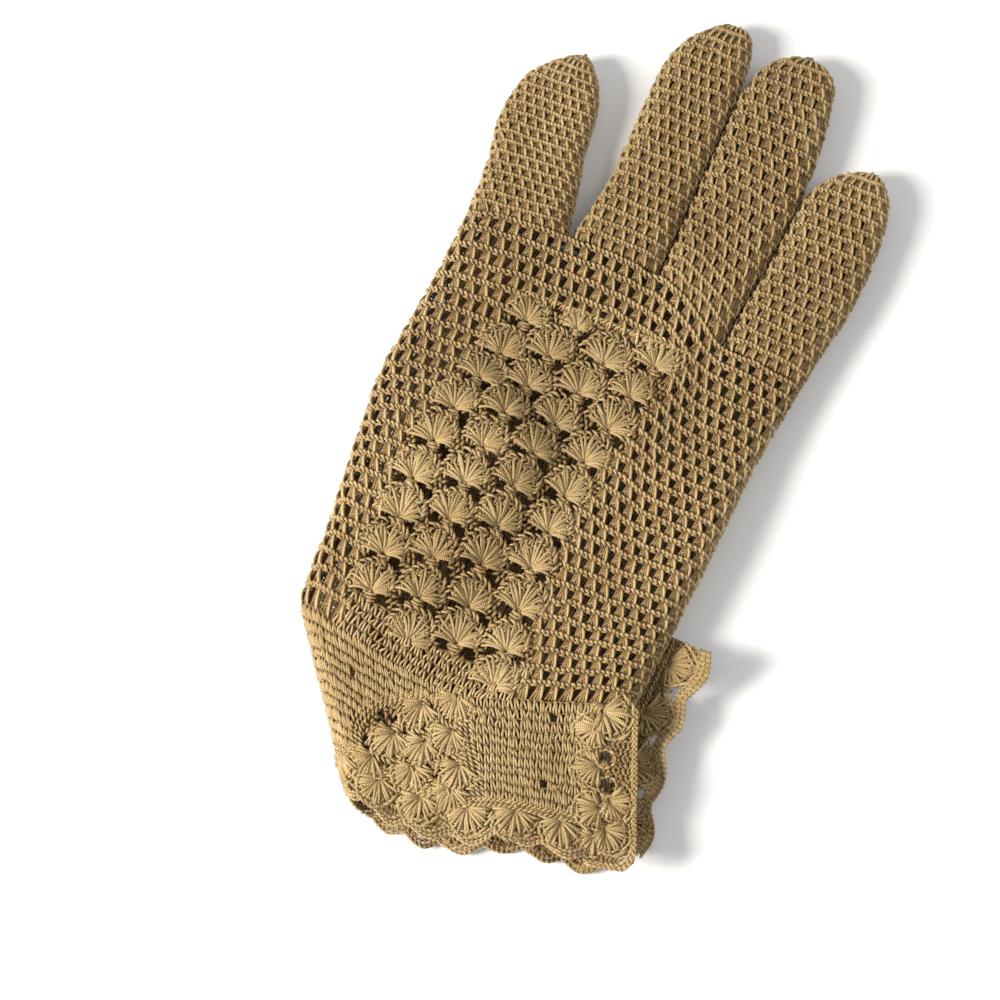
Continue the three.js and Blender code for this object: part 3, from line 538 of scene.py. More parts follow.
# One stitch of the open net, a strand a row: thickness, tone, steps and path [across in stitches, up in
# rows, out in mm]. A thick leaning post stands right of three strands, a wrap crosses them, a strand
# closes the top of the hole on the right, and three slanted strands make the ridge along the row. The
# tones paint light and shade: the post and the ridge's strands are painted lighter as highlights, and
# the three sunk strands darker as painted shade in the stitch's hollow
NET_STITCH = [
    [1.15, 0.9, 5, [[0.78, -0.06, -0.2], [0.71, 0.22, 0.5], [0.6, 0.56, 0.65], [0.46, 0.9, 0.1]]],
    [1.2, -1.0, 4, [[0.56, -0.05, -0.3], [0.54, 0.3, -0.05], [0.48, 0.65, 0.05], [0.46, 1.0, -0.1]]],
    [1.2, -1.5, 4, [[0.32, -0.05, -0.35], [0.36, 0.35, -0.2], [0.37, 0.7, -0.1], [0.34, 1.0, -0.1]]],
    [1.15, -1.5, 4, [[0.06, 0.0, -0.35], [0.17, 0.35, -0.2], [0.23, 0.68, -0.1], [0.18, 1.0, -0.1]]],
    [0.85, -0.6, 4, [[0.14, 0.3, -0.3], [0.3, 0.42, 0.1], [0.52, 0.56, 0.2], [0.7, 0.68, -0.2]]],
    [1.2, 0.1, 3, [[0.6, 0.78, -0.15], [0.84, 0.86, 0.2], [1.12, 0.8, -0.2]]],
    [1.4, 0.5, 3, [[-0.04, 1.13, 0.0], [0.14, 1.03, 0.6], [0.34, 0.88, 0.05]]],
    [1.4, 0.3, 3, [[0.29, 1.13, 0.0], [0.48, 1.03, 0.6], [0.67, 0.88, 0.05]]],
    [1.4, 0.4, 3, [[0.63, 1.13, 0.0], [0.81, 1.03, 0.6], [1.0, 0.88, 0.05]]],
]

# The fingers' net is closer, with a strand more in each hole, and the palm's has two more, sunk and
# painted darker as shade in the holes
FINGER_STITCH = [
    *NET_STITCH,
    [1.35, -0.7, 3, [[1.04, 0.0, -0.3], [1.0, 0.4, -0.1], [0.98, 0.8, -0.3]]],
]
PALM_STITCH = [
    *FINGER_STITCH,
    [1.3, -0.4, 3, [[0.82, 0.0, -0.3], [0.82, 0.4, 0.0], [0.82, 0.8, -0.3]]],
]

# One close stitch: two upright strands and a bar across their tops, the sunk bar painted dark as shade in
# the pits between rows. Each row is set over a little
CLOSE_LEAN = 0.3
CLOSE_STITCH = [
    [1.0, 0.5, 4, [[0.2, -0.1, -0.3], [0.16, 0.25, 0.4], [0.34, 0.7, 0.5], [0.44, 1.0, -0.2]]],
    [1.0, 0.2, 4, [[0.76, -0.1, -0.3], [0.7, 0.25, 0.35], [0.66, 0.7, 0.45], [0.56, 1.0, -0.2]]],
    [1.0, -1.0, 3, [[-0.1, 1.04, -0.3], [0.5, 1.0, -0.05], [1.1, 1.04, -0.3]]],
]


def lay_stitches(work, stitch, cloth, rounds, rows, keep=None, lean=0.0, uneven=0.06):
    """Lays a stitch all over a cloth that u and v span from 0 to 1. A point of its path goes to
    u = (across + c + lean r) / rounds and v = (up + r) / rows for stitch c of row r, moved out along
    the normal. keep(u, v) says which stitches are worked."""
    astray = wander(work.random, rounds, rows, uneven)
    c, r = np.meshgrid(np.arange(rounds), np.arange(rows))
    r = r.ravel()
    start = c.ravel() + lean * r
    if keep is not None:
        chosen = keep(np.mod((start + 0.5) / rounds, 1.0), (r + 0.5) / rows)
        r, start = r[chosen], start[chosen]
    puff = work.random.uniform(0.8, 1.25, len(r))
    for thickness, tone, steps, points in stitch:
        path = spline(points, steps)
        column = start[:, None] + path[None, :, 0]
        row = r[:, None] + path[None, :, 1]
        du, dv = astray(column, row)
        u, v = (column + du) / rounds, (row + dv) / rows
        outward = outward_of(cloth, u, v, 1e-3)
        out = path[None, :, 2] * puff[:, None]
        work.add(cloth(u, v) + outward * out[..., None], outward, thickness, tone)


def local_frames(cloth, p, q):
    """For each place on a cloth, the small steps (p, q) that make one millimetre along its first
    direction and one square to it in its plane."""
    step = 0.05
    dp = (cloth(p + step, q) - cloth(p - step, q)) / (2 * step)
    dq = (cloth(p, q + step) - cloth(p, q - step)) / (2 * step)
    first = unit(dp)
    second = unit(dq - np.sum(dq * first, -1, keepdims=True) * first)
    jacobian = np.stack([dp, dq], -1)
    turned = np.swapaxes(jacobian, -1, -2)
    return np.linalg.solve(turned @ jacobian, turned @ np.stack([first, second], -1))


def lay_paths(work, cloth, bases, turns, paths, size, thickness, tone):
    """Lays the same paths at many places of a cloth. bases is places by 2, turns says which way each
    faces, and paths is paths by steps by 3: [to the right, ahead, out], in millimetres."""
    start_p, start_q = bases.T[..., None, None]
    frames = local_frames(cloth, *bases.T)[..., None, None]
    size = np.broadcast_to(size, len(bases))[:, None, None]
    sin, cos = np.sin(turns)[:, None, None], np.cos(turns)[:, None, None]
    right, ahead = paths[None, ..., 0] * size, paths[None, ..., 1] * size
    a = right * cos + ahead * sin
    b = ahead * cos - right * sin
    p = start_p + frames[:, 0, 0] * a + frames[:, 0, 1] * b
    q = start_q + frames[:, 1, 0] * a + frames[:, 1, 1] * b
    outward = outward_of(cloth, p, q, 0.05)
    puff = work.random.uniform(0.85, 1.2, p.shape[:2])[..., None]
    places = cloth(p, q) + outward * (paths[None, ..., 2] * puff)[..., None]
    shape = (-1, *places.shape[2:])
    work.add(places.reshape(shape), outward.reshape(shape), thickness, tone)


# Each kind of shell: how far it reaches and how far it spreads to each side, in radians
PANEL_SHELL = (7.9, 1.25)
INSERT_SHELL = (6.9, 1.15)
HEM_SHELL = (7.2, 1.1)
VENT_SHELL = (8.0, 1.25)
FLAP_SHELL = (8.0, 0.95)

# How far a rim's strands cross it: those of the panel and the insert are knotty, the borders' smooth
KNOTTY_RIM = 0.7
SMOOTH_RIM = 0.35

# The chains along a knotty rim: way back from it, slant, strands, thickness and tone. A smooth one has
# only the first two
RIM_CHAINS = [[0.0, 1, 13, 1.2, 0.15], [1.4, -1, 13, 1.05, 0.0], [2.7, 1, 9, 0.95, 0.1]]


def polar(length, angle, out):
    """Points [to the right, ahead, out] at lengths and angles off straight ahead."""
    return np.stack([length * np.sin(angle), length * np.cos(angle), out], -1)


def shell_reach(reach, angle, spread):
    """How far a shell reaches at an angle: most straight ahead, a third less at its sides, and more on
    the left than on the right."""
    return reach * (0.68 + 0.32 * np.cos(angle) ** 2 - 0.07 * angle / spread)


def shell_paths(random, reach, spread, rise, posts=7):
    """The posts of one shell, each two strands that part as they go and a third below beside them.
    They leave a pit at the start, rise to the middle and dip at the rim. Each is turned, bent and cut a
    little by chance."""
    fans = []
    gap = 2 * spread / (posts - 1)
    share = np.linspace(0.1, 1, 5)
    for i in range(posts):
        angle = spread * (2 * i / (posts - 1) - 1) + random.uniform(-0.04, 0.04)
        for part, sunk in ((-0.24, 0.0), (0.24, 0.1), (0.6, 0.3)):
            length = shell_reach(reach, angle, spread) * random.uniform(0.86, 1.04)
            bend = 0.1 * math.sin(angle) + random.uniform(-0.13, 0.13)
            way = angle + gap * part * (0.6 + 0.4 * share) + bend * share**2
            rising = np.sin(math.pi * share * 0.8) ** 0.8
            out = -0.5 + (0.5 + rise * random.uniform(0.75, 1.15)) * rising - sunk
            fans.append(polar(length * share, way, out))
    return np.array(fans)


def rim_paths(random, reach, spread, back, slant, count, rim):
    """A chain along a shell's rim, a way back from it: short strands, each slanted off the arc. The
    larger rim is, the more they cross it."""
    rims = []
    width = slant * spread * (3.0 - 2.4 * rim) / count
    for i in range(count):
        middle = spread * 1.08 * (2 * (i + 0.5) / count - 1)
        angles = middle + np.array([-width, 0, width]) + random.uniform(-0.06, 0.06)
        lengths = shell_reach(reach, angles, spread) - back + np.array([rim, 0.1, -rim])
        rims.append(polar(lengths + random.uniform(-0.3, 0.3), angles, [0.1, 0.65, 0.1]))
    return np.array(rims)


# The knot that a shell springs from: three thick bars across it under the pit
KNOT = np.array([
    [[-half, ahead + 0.35, -0.2], [0, ahead, out], [half, ahead + 0.25, -0.2]]
    for ahead, half, out in ((-0.7, 1.2, 0.35), (-1.5, 1.5, 0.25), (-2.3, 1.3, 0.1))
])


def lay_shells(work, cloth, bases, turns, shell, size=1.0, rise=0.8, rim=KNOTTY_RIM):
    """Shells of one kind at many places, each with its fan of posts, its rim's chains and its knot."""
    bases = np.asarray(bases, float)
    turns = np.broadcast_to(turns, len(bases))
    size = np.broadcast_to(size, len(bases))
    chains = RIM_CHAINS if rim == KNOTTY_RIM else RIM_CHAINS[:2]
    for i in range(len(bases)):
        one = (work, cloth, bases[i:i + 1], turns[i:i + 1])
        lay_paths(*one, shell_paths(work.random, *shell, rise), size[i:i + 1], 1.2, 0.2)
        for *chain, thickness, tone in chains:
            paths = rim_paths(work.random, *shell, *chain, rim)
            lay_paths(*one, paths, size[i:i + 1], thickness, tone)
    lay_paths(work, cloth, bases, turns, KNOT, size, 1.3, -0.1)


def lay_ground(work, cloth, p, q, holes, tone=-0.7):
    """The close ground that shells stand on, a little sunk and painted darker as shade: short strands
    lying every way at places p, q, but for round holes [p, q, radius]."""
    clear = np.ones(len(p), bool)
    for hole_p, hole_q, radius in holes:
        clear &= np.hypot(p - hole_p, q - hole_q) > radius
    bases = places_at(p[clear], q[clear])
    turns = 0.5 + work.random.uniform(-1.2, 1.2, len(bases))
    strand = np.array([[[0.1, -0.9, -0.8], [0.25, 0.0, 0.1], [-0.1, 0.9, -0.8]]])
    lay_paths(work, cloth, bases, turns, strand, 1.0, 1.4, tone)


def lay_ring(work, cloth, p, q, radius, count=9):
    """A ring of short strands round a hole."""
    turns = np.arange(count) * 2 * math.pi / count
    low, high = radius - 0.1, radius + 0.2
    strand = np.array([[[-0.9, low, -0.1], [0.0, high, 0.6], [0.9, low, -0.1]]])
    lay_paths(work, cloth, np.tile([p, q], (count, 1)), turns, strand, 1.0, 1.2, 0.3)


def places_at(p, q):
    """Places [p, q] from two lists, or from a list and one value."""
    return np.stack(np.broadcast_arrays(p, q), -1)


def grid_over(low_p, high_p, low_q, high_q, wide=1.25, tall=1.3):
    """Even places over a rectangle, every other row set over by half a step."""
    p, q = np.meshgrid(np.arange(low_p, high_p, wide), np.arange(low_q, high_q, tall))
    p = p + wide / 2 * (np.arange(len(p)) % 2)[:, None]
    return p.ravel(), q.ravel()


def lay_chain(work, cloth, line, slant=1.0, tone=0.1, spacing=1.15):
    """A chain along a line of places on a cloth: short strands slanted across it, evenly spaced."""
    line = np.asarray(line, float)
    places = cloth(line[:, 0], line[:, 1])
    run = np.concatenate([[0], np.cumsum(np.linalg.norm(np.diff(places, axis=0), axis=1))])
    count = max(int(run[-1] / spacing), 1)
    middles = (np.arange(count) + 0.5) * run[-1] / count

    def place(along):
        return places_at(np.interp(along, run, line[:, 0]), np.interp(along, run, line[:, 1]))

    bases = place(middles)
    way = np.linalg.inv(local_frames(cloth, *bases.T)) @ (place(middles + 0.3) - bases)[..., None]
    turns = np.arctan2(way[:, 0, 0], way[:, 1, 0])
    strand = np.array([[[0.55, -0.8, 0.0], [0.1, 0.0, 0.55], [-0.5, 0.8, 0.0]]])
    lay_paths(work, cloth, bases, turns, strand * [slant, 1.0, 1.0], 1.0, 1.1, tone)


def lay_braid(work, cloth, line, apart):
    """A plain cord, and inside it two chains that slant against each other, as a crocheted edge has.
    apart is the step inwards from one to the next."""
    for step, slant in ((-0.45, 0.0), (0.25, 0.5), (1.1, -0.6)):
        lay_chain(work, cloth, line + step * np.array(apart), slant, 0.3)


# Meshes

SIDES = 4
CORNERS = (np.arange(SIDES) + 0.5) * 2 * math.pi / SIDES


def tube_points(places, outward, radius):
    """Rings of points about each step of the threads, in the plane square to them."""
    tangent = unit(np.gradient(places, axis=1))
    side = unit(np.cross(tangent, outward))
    up = np.cross(side, tangent)
    ring = side[:, :, None] * np.cos(CORNERS)[:, None] + up[:, :, None] * np.sin(CORNERS)[:, None]
    return places[:, :, None] + ring * radius[:, :, None, None]


def quad_map(low, high, near, far):
    """A map's values at each quad's four corners, from low to high along and near to far round."""
    low, high, near, far = np.broadcast_arrays(low, high, near, far)
    pairs = ((low, near), (high, near), (high, far), (low, far))
    return np.stack([np.stack(pair, -1) for pair in pairs], -2)


def write_mesh(name, verts, loops, totals, maps, tones):
    """A smooth mesh from lists of arrays: points, the faces' corners, how many each face has, the maps
    by name and each point's tone."""
    verts, loops, totals = np.concatenate(verts), np.concatenate(loops), np.concatenate(totals)
    mesh = bpy.data.meshes.new(name)
    mesh.vertices.add(len(verts))
    mesh.vertices.foreach_set("co", ((verts + SHIFT) * MM).astype(np.float32).ravel())
    mesh.loops.add(len(loops))
    mesh.loops.foreach_set("vertex_index", loops.astype(np.int32))
    mesh.polygons.add(len(totals))
    starts = np.concatenate([[0], np.cumsum(totals)[:-1]])
    mesh.polygons.foreach_set("loop_start", starts.astype(np.int32))
    mesh.polygons.foreach_set("loop_total", totals.astype(np.int32))
    mesh.polygons.foreach_set("use_smooth", np.ones(len(totals), bool))
    for map_name, values in maps.items():
        layer = mesh.uv_layers.new(name=map_name)
        layer.data.foreach_set("uv", np.concatenate(values).astype(np.float32).ravel())
    layer = mesh.attributes.new("tone", "FLOAT", "POINT")
    layer.data.foreach_set("value", np.concatenate(tones).astype(np.float32))
    mesh.update(calc_edges=True)
    return mesh


def thread_mesh(name, work):
    """Tubes round a piece's threads: rings joined by quads, with a face on each end. The map thread
    runs along a thread in millimetres and once around it, and OFBake gives each a box of its own."""
    verts, loops, totals, tones, lengths, boxes = [], [], [], [], [], []
    grid = math.ceil(math.sqrt(sum(len(part[0]) for part in work.parts)))
    first, start = 0, 0
    k = np.arange(SIDES)
    near, far = k / SIDES, (k + 1) / SIDES
    for places, outward, radius, shade in work.parts:
        count, steps = places.shape[:2]
        verts.append(tube_points(places, outward, radius).reshape(-1, 3))
        tones.append(np.repeat(shade, steps * SIDES))
        length = np.zeros((count, steps))
        length[:, 1:] = np.cumsum(np.linalg.norm(np.diff(places, axis=1), axis=-1), axis=1)
        base = start + (np.arange(count) * steps * SIDES)[:, None, None]
        i = np.arange(steps - 1)[None, :, None]
        a, b = base + i * SIDES + k, base + i * SIDES + (k + 1) % SIDES
        quads = np.stack([a, a + SIDES, b + SIDES, b], -1)
        loops.append(quads.reshape(-1))
        totals.append(np.full(quads.size // 4, 4))
        lengths.append(quad_map(length[:, :-1, None], length[:, 1:, None], near, far).reshape(-1, 2))
        number = first + np.arange(count)
        corner = places_at(number % grid, number // grid)
        box = quad_map(i / (steps - 1), (i + 1) / (steps - 1), near, far)
        boxes.append(((corner[:, None, None, None] + 0.06 + 0.88 * box) / grid).reshape(-1, 2))
        for step, order in ((0, k), (steps - 1, k[::-1])):
            loops.append((base[:, 0] + step * SIDES + order).reshape(-1))
            totals.append(np.full(count, SIDES))
            lengths.append(places_at(length[:, step, None], order / SIDES).reshape(-1, 2))
            tiny = 0.03 + 0.02 * places_at(np.cos(CORNERS), np.sin(CORNERS))
            boxes.append(((corner[:, None] + tiny) / grid).reshape(-1, 2))
        start += count * steps * SIDES
        first += count
    return write_mesh(name, verts, loops, totals, {"thread": lengths, "OFBake": boxes}, tones)


def set_inputs(node, values):
    for key, value in values.items():
        node.inputs[key].default_value = value


def add_object(name, data):
    obj = bpy.data.objects.new(name, data)
    bpy.context.scene.collection.objects.link(obj)
    return obj


def piece(name, work, material, slot, *nodes):
    """A finished piece: its threads' mesh, its material, and the solids that it stands for."""
    obj = add_object(name, thread_mesh(name, work))
    obj.data.materials.append(material)
    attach(obj, "root")
    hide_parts(*nodes)


# Material

# Turns of the two plies round each other in a millimetre
PLY_TURNS = 1.15
SHINE = {
    "Roughness": 0.45, "Specular IOR Level": 0.5, "Sheen Weight": 0.12, "Sheen Roughness": 0.4,
}


def cotton(name, dark, base, light):
    """Shiny twisted cotton. Two plies wind round each thread, as a cosine of the way along and around
    it, which sets the bump and paints light and shade: the colour goes from dark as painted shade in
    the grooves to light as painted highlight on the plies, shifted by the thread's own tone (chance
    differences, and painted light and shade by the strand's place in a stitch), by slow patches of age
    and by fine fibres."""
    material = bpy.data.materials.new(name)
    material.use_nodes = True
    nodes, links = material.node_tree.nodes, material.node_tree.links
    shader = nodes["Principled BSDF"]

    def node(kind, **values):
        made = nodes.new(kind)
        for key, value in values.items():
            setattr(made, key, value)
        return made

    def times_plus(value, factor, added):
        made = node("ShaderNodeMath", operation="MULTIPLY_ADD")
        links.new(value, made.inputs[0])
        made.inputs[1].default_value = factor
        if isinstance(added, float):
            made.inputs[2].default_value = added
        else:
            links.new(added, made.inputs[2])
        return made.outputs[0]

    def noise(scale, detail):
        made = node("ShaderNodeTexNoise")
        links.new(place.outputs["Object"], made.inputs["Vector"])
        set_inputs(made, {"Scale": scale, "Detail": detail})
        return made.outputs["Fac"]

    place = node("ShaderNodeTexCoord")
    uv = node("ShaderNodeUVMap", uv_map="thread")
    split = node("ShaderNodeSeparateXYZ")
    links.new(uv.outputs["UV"], split.inputs[0])
    turns = times_plus(split.outputs["X"], PLY_TURNS, split.outputs["Y"])
    wave = node("ShaderNodeMath", operation="COSINE")
    links.new(times_plus(turns, 4 * math.pi, 0.0), wave.inputs[0])
    ply_bump_and_painted_shade = times_plus(wave.outputs[0], 0.5, 0.5)
    tone = node("ShaderNodeAttribute", attribute_name="tone")
    patches = noise(38.0, 3.0)
    fibres = noise(2600.0, 2.0)
    shade = 0.0
    # The ply wave darkens the grooves as painted shade and lightens the plies as painted highlight; the
    # tone adds each strand's painted light and shade, the noises real patches of age and fibres
    for part, share in ((tone.outputs["Fac"], 0.2), (ply_bump_and_painted_shade, 0.42), (patches, 0.5), (fibres, 0.35)):
        shade = times_plus(part, share, shade)
    ramp = node("ShaderNodeValToRGB")
    links.new(shade, ramp.inputs["Fac"])
    stops = ramp.color_ramp.elements
    stops[0].position = 0.2
    stops[0].color = (*dark, 1)
    stops[1].color = (*light, 1)
    stops.new(0.62).color = (*base, 1)
    links.new(ramp.outputs["Color"], shader.inputs["Base Color"])
    bump = node("ShaderNodeBump")
    set_inputs(bump, {"Strength": 0.6, "Distance": 0.00012})
    links.new(ply_bump_and_painted_shade, bump.inputs["Height"])
    links.new(bump.outputs["Normal"], shader.inputs["Normal"])
    set_inputs(shader, SHINE)
    return material


# The dark end of each ramp is painted shade in grooves and on sunk strands as well as patches of age, and
# the light end painted highlight on plies and raised strands
NET = cotton("net_cotton", (0.14, 0.068, 0.011), (0.31, 0.194, 0.067), (0.6, 0.44, 0.208))
SHELLS = cotton("shell_cotton", (0.145, 0.072, 0.012), (0.325, 0.207, 0.072), (0.62, 0.46, 0.222))
CLOSE = cotton("close_stitch_cotton", (0.145, 0.07, 0.012), (0.325, 0.206, 0.072), (0.6, 0.44, 0.208))


# Hand and fingers

THUMB_ROUNDS = 15
THUMB_ROWS = 13
PANEL_TOP = PALM_LENGTH * 0.845
PANEL_LEFT = PALM_BREADTH * -0.306
PANEL_FOOT = PALM_LENGTH * -0.09
SHELL_STEP = SHELL_ROW * 0.36
TOP_SHELL = PALM_LENGTH * 0.77


def shell_x(column, y):
    return PANEL_LEFT + SHELL_PITCH * column + PALM_BREADTH * panel_bow(y / PALM_LENGTH)


def panel_edges(y):
    return shell_x(0, y) - PANEL_MARGIN, shell_x(SHELL_COLUMNS - 1, y) + PANEL_MARGIN


def in_panel(x, y, margin):
    left, right = panel_edges(y)
    return (x > left - margin) & (x < right + margin) & (y < PANEL_TOP + margin)


def hand_net(upper):
    """The net of the hand's back, a little under the panel's edge, or of its palm."""
    work = Work(11 if upper else 12)
    rounds = round(2 * (PALM_BREADTH + HAND_THICKNESS * 0.3) / NET_WIDE)
    rows = round(PALM_LENGTH * 1.02 / NET_TALL)

    def keep(u, v):
        on_back = (u > 0.25) & (u < 0.75)
        if not upper:
            return ~on_back
        places = hand_rows(u, v)
        return on_back & ~in_panel(places[:, 0], places[:, 1], -1.2)

    stitch = NET_STITCH if upper else PALM_STITCH
    lay_stitches(work, stitch, hand_rows, rounds, rows, keep, NET_LEAN)
    return work


# Each finger's net: breadth and height of a stitch, and its seed
FINGER_NETS = {
    "index_finger": (2.8, 2.85, 20), "middle_finger": (3.0, 3.7, 21), "ring_finger": (3.1, 3.8, 22),
    "little_finger": (3.0, 3.6, 23),
}


def finger_net(name):
    wide, tall, seed = FINGER_NETS[name]
    work = Work(seed)
    i = FINGERS.index(name)
    rounds = round(2 * (ROOT_EDGES[i + 1] - ROOT_EDGES[i] + FINGER_THICKNESS * 0.35) / wide)
    rows = round(FINGER_LENGTHS[name] / tall)
    lay_stitches(work, FINGER_STITCH, finger_cloth(name), rounds, rows, None, NET_LEAN)
    return work


def thumb_net():
    work = Work(30)
    lay_stitches(work, FINGER_STITCH, thumb_cloth, THUMB_ROUNDS, THUMB_ROWS, None, NET_LEAN)
    return work


# The close rows under the panel's shells: their height in all, a stitch's breadth, and their number
STRIP = 8.6
STRIP_WIDE = 1.7
STRIP_ROWS = 4

# Holes round each shell of the panel: [right, up, radius]
PANEL_HOLES = [
    [-2.9, -0.9, 1.5], [2.9, -0.9, 1.5], [-7.4, 4.3, 0.8], [-6.4, 3.6, 0.9], [-5.4, 2.9, 0.8],
]


def shell_panel():
    """Columns of shells that open towards the fingers, each a third of a row above the last, with holes
    beside their knots. Close rows run along the wrist and a chain along the top."""
    work = Work(40)
    bases = []
    for column in range(SHELL_COLUMNS):
        y = TOP_SHELL + SHELL_STEP * column
        while y > wrist_y(shell_x(column, y)) + 1.0:
            if y < PANEL_TOP - SHELL_ROW * 0.45:
                bases.append([shell_x(column, y), y])
            y -= SHELL_ROW
    bases = np.array(bases)
    bases += work.random.uniform(-0.5, 0.5, bases.shape)
    holes = [[*(base + place), radius] for base in bases for *place, radius in PANEL_HOLES]
    reach = PANEL_MARGIN - PANEL_LEFT
    x, y = grid_over(-reach, reach, PANEL_FOOT, PANEL_TOP + 1)
    over = in_panel(x, y, 0.5) & (y > wrist_y(x) + STRIP - 1.5)
    lay_ground(work, back_cloth, x[over], y[over], holes)
    # Shells just under the chain at the top are smaller
    room = np.clip((PANEL_TOP + 1.5 - bases[:, 1]) / 9.0, 0.6, 1.0)
    turns = work.random.uniform(-0.22, 0.14, len(bases))
    size = room * work.random.uniform(0.92, 1.08, len(bases))
    lay_shells(work, back_cloth, bases, turns, PANEL_SHELL, size)
    left, right = panel_edges(0)

    def strip(u, v):
        x = lerp(left, right, u)
        return back_cloth(x, wrist_y(x) + STRIP * v - 0.8)

    rounds = round((right - left) / STRIP_WIDE)
    lay_stitches(work, CLOSE_STITCH, strip, rounds, STRIP_ROWS, None, CLOSE_LEAN, 0.16)
    top = lerp(*panel_edges(PANEL_TOP), np.linspace(0, 1, 60))
    lay_chain(work, back_cloth, places_at(top, PANEL_TOP))
    return work


# Cuff

INSERT_LEFT = curve(INSERT_EDGES, 1)
INSERT_RIGHT = curve(INSERT_EDGES, 2)
CLOSE_WIDE = 1.5
CLOSE_TALL = 2.06
DROPPED = 0.02


def in_insert(p, q):
    share, down = p / PALM_BREADTH, -q / CUFF_LENGTH
    return (down > 0.1) & (share > INSERT_LEFT(down)) & (share < INSERT_RIGHT(down))


def cuff_close():
    """Close stitches all over the cuff but for the wedge of shells, a few of them dropped."""
    work = Work(50)
    rounds = round((BACK_END - PALM_END) / CLOSE_WIDE)
    rows = round(-HEM_TOP / CLOSE_TALL)

    def cloth(u, v):
        return cuff_cloth(lerp(PALM_END, BACK_END, u), HEM_TOP * (1 - v) - 0.4)

    def keep(u, v):
        dropped = work.random.random(len(u)) < DROPPED
        return ~in_insert(lerp(PALM_END, BACK_END, u), HEM_TOP * (1 - v)) & ~dropped

    lay_stitches(work, CLOSE_STITCH, cloth, rounds, rows, keep, CLOSE_LEAN, 0.13)
    return work


# Holes round each shell of the insert: [across, up, radius]
INSERT_HOLES = [[-3.2, 1.2, 1.5], [3.2, 1.2, 1.5], [0, 2.0, 1.5]]


def cuff_insert():
    """The wedge of shells, which open down to the hem, with chains along both its edges."""
    work = Work(51)
    bases = np.array([[share * PALM_BREADTH, -down * CUFF_LENGTH] for down, share in INSERT_SHELLS])
    p, q = grid_over(PALM_BREADTH * 0.12, PALM_BREADTH * 0.58, HEM_TOP - 0.5, -CUFF_LENGTH * 0.06)
    over = in_insert(p, q)
    holes = [[*(base + place), radius] for base in bases for *place, radius in INSERT_HOLES]
    lay_ground(work, cuff_cloth, p[over], q[over], holes)
    turns = math.pi + work.random.uniform(-0.25, 0.25, len(bases))
    lay_shells(work, cuff_cloth, bases, turns, INSERT_SHELL)
    down = np.linspace(0.1, 0.74, 40)
    for side, edge in ((-1, INSERT_LEFT), (1, INSERT_RIGHT)):
        for inward in (0.2, 1.6, 3.0):
            line = places_at(edge(down) * PALM_BREADTH - side * inward, -down * CUFF_LENGTH)
            lay_chain(work, cuff_cloth, line)
    return work


def hem_edge(p):
    """How far down the hem's scalloped edge lies."""
    lobe = np.sqrt(0.9 * np.sin(math.pi * hem_scallop(p)) ** 2 + 0.1)
    return -CUFF_LENGTH + SCALLOP_DEPTH * (1 - lobe)


def hem_edging():
    """Shells that open over the hem, two chains above them and a braid along the scalloped edge."""
    work = Work(52)
    middles = lerp(BACK_END, PALM_END, (np.arange(HEM_SCALLOPS) + 0.5) / HEM_SCALLOPS)
    notches = lerp(BACK_END, PALM_END, np.arange(1, HEM_SCALLOPS) / HEM_SCALLOPS)
    p, q = grid_over(PALM_END, BACK_END, -CUFF_LENGTH + 1.0, HEM_TOP + 0.5)
    over = q > hem_edge(p) + 1.0
    holes = [[notch, HEM_TOP - 4.6, 1.5] for notch in notches]
    lay_ground(work, hem_cloth, p[over], q[over], holes)
    turns = math.pi + work.random.uniform(-0.15, 0.15, HEM_SCALLOPS)
    bases = places_at(middles, HEM_TOP - 1.8)
    lay_shells(work, hem_cloth, bases, turns, HEM_SHELL, rise=0.95, rim=SMOOTH_RIM)
    along = np.linspace(PALM_END, BACK_END, 240)
    for down in (0.3, 1.5):
        lay_chain(work, hem_cloth, places_at(along, HEM_TOP - down))
    lay_braid(work, hem_cloth, places_at(along, hem_edge(along)), [0, 0.85])
    return work


# Shells at the back layer's vent edge: [out from the cuff's end, up, way they open, size]
VENT_SHELLS = [
    [5.8, -1.8, 2.2, 0.95], [4.8, -5.0, -2.0, 0.75], [4.6, -13.0, -1.8, 0.8], [6.8, -19.6, 2.1, 0.8],
    [4.6, -21.2, -1.9, 0.8], [5.4, -25.4, 2.4, 0.85], [2.6, -27.0, -2.7, 0.65],
]

# Its two eyelets, and the radius of its lower corner
VENT_HOLES = [[BACK_END + 6.4, -11.4], [BACK_END + 6.6, -17.0]]
VENT_HOLE = 1.7
CORNER = 5.0


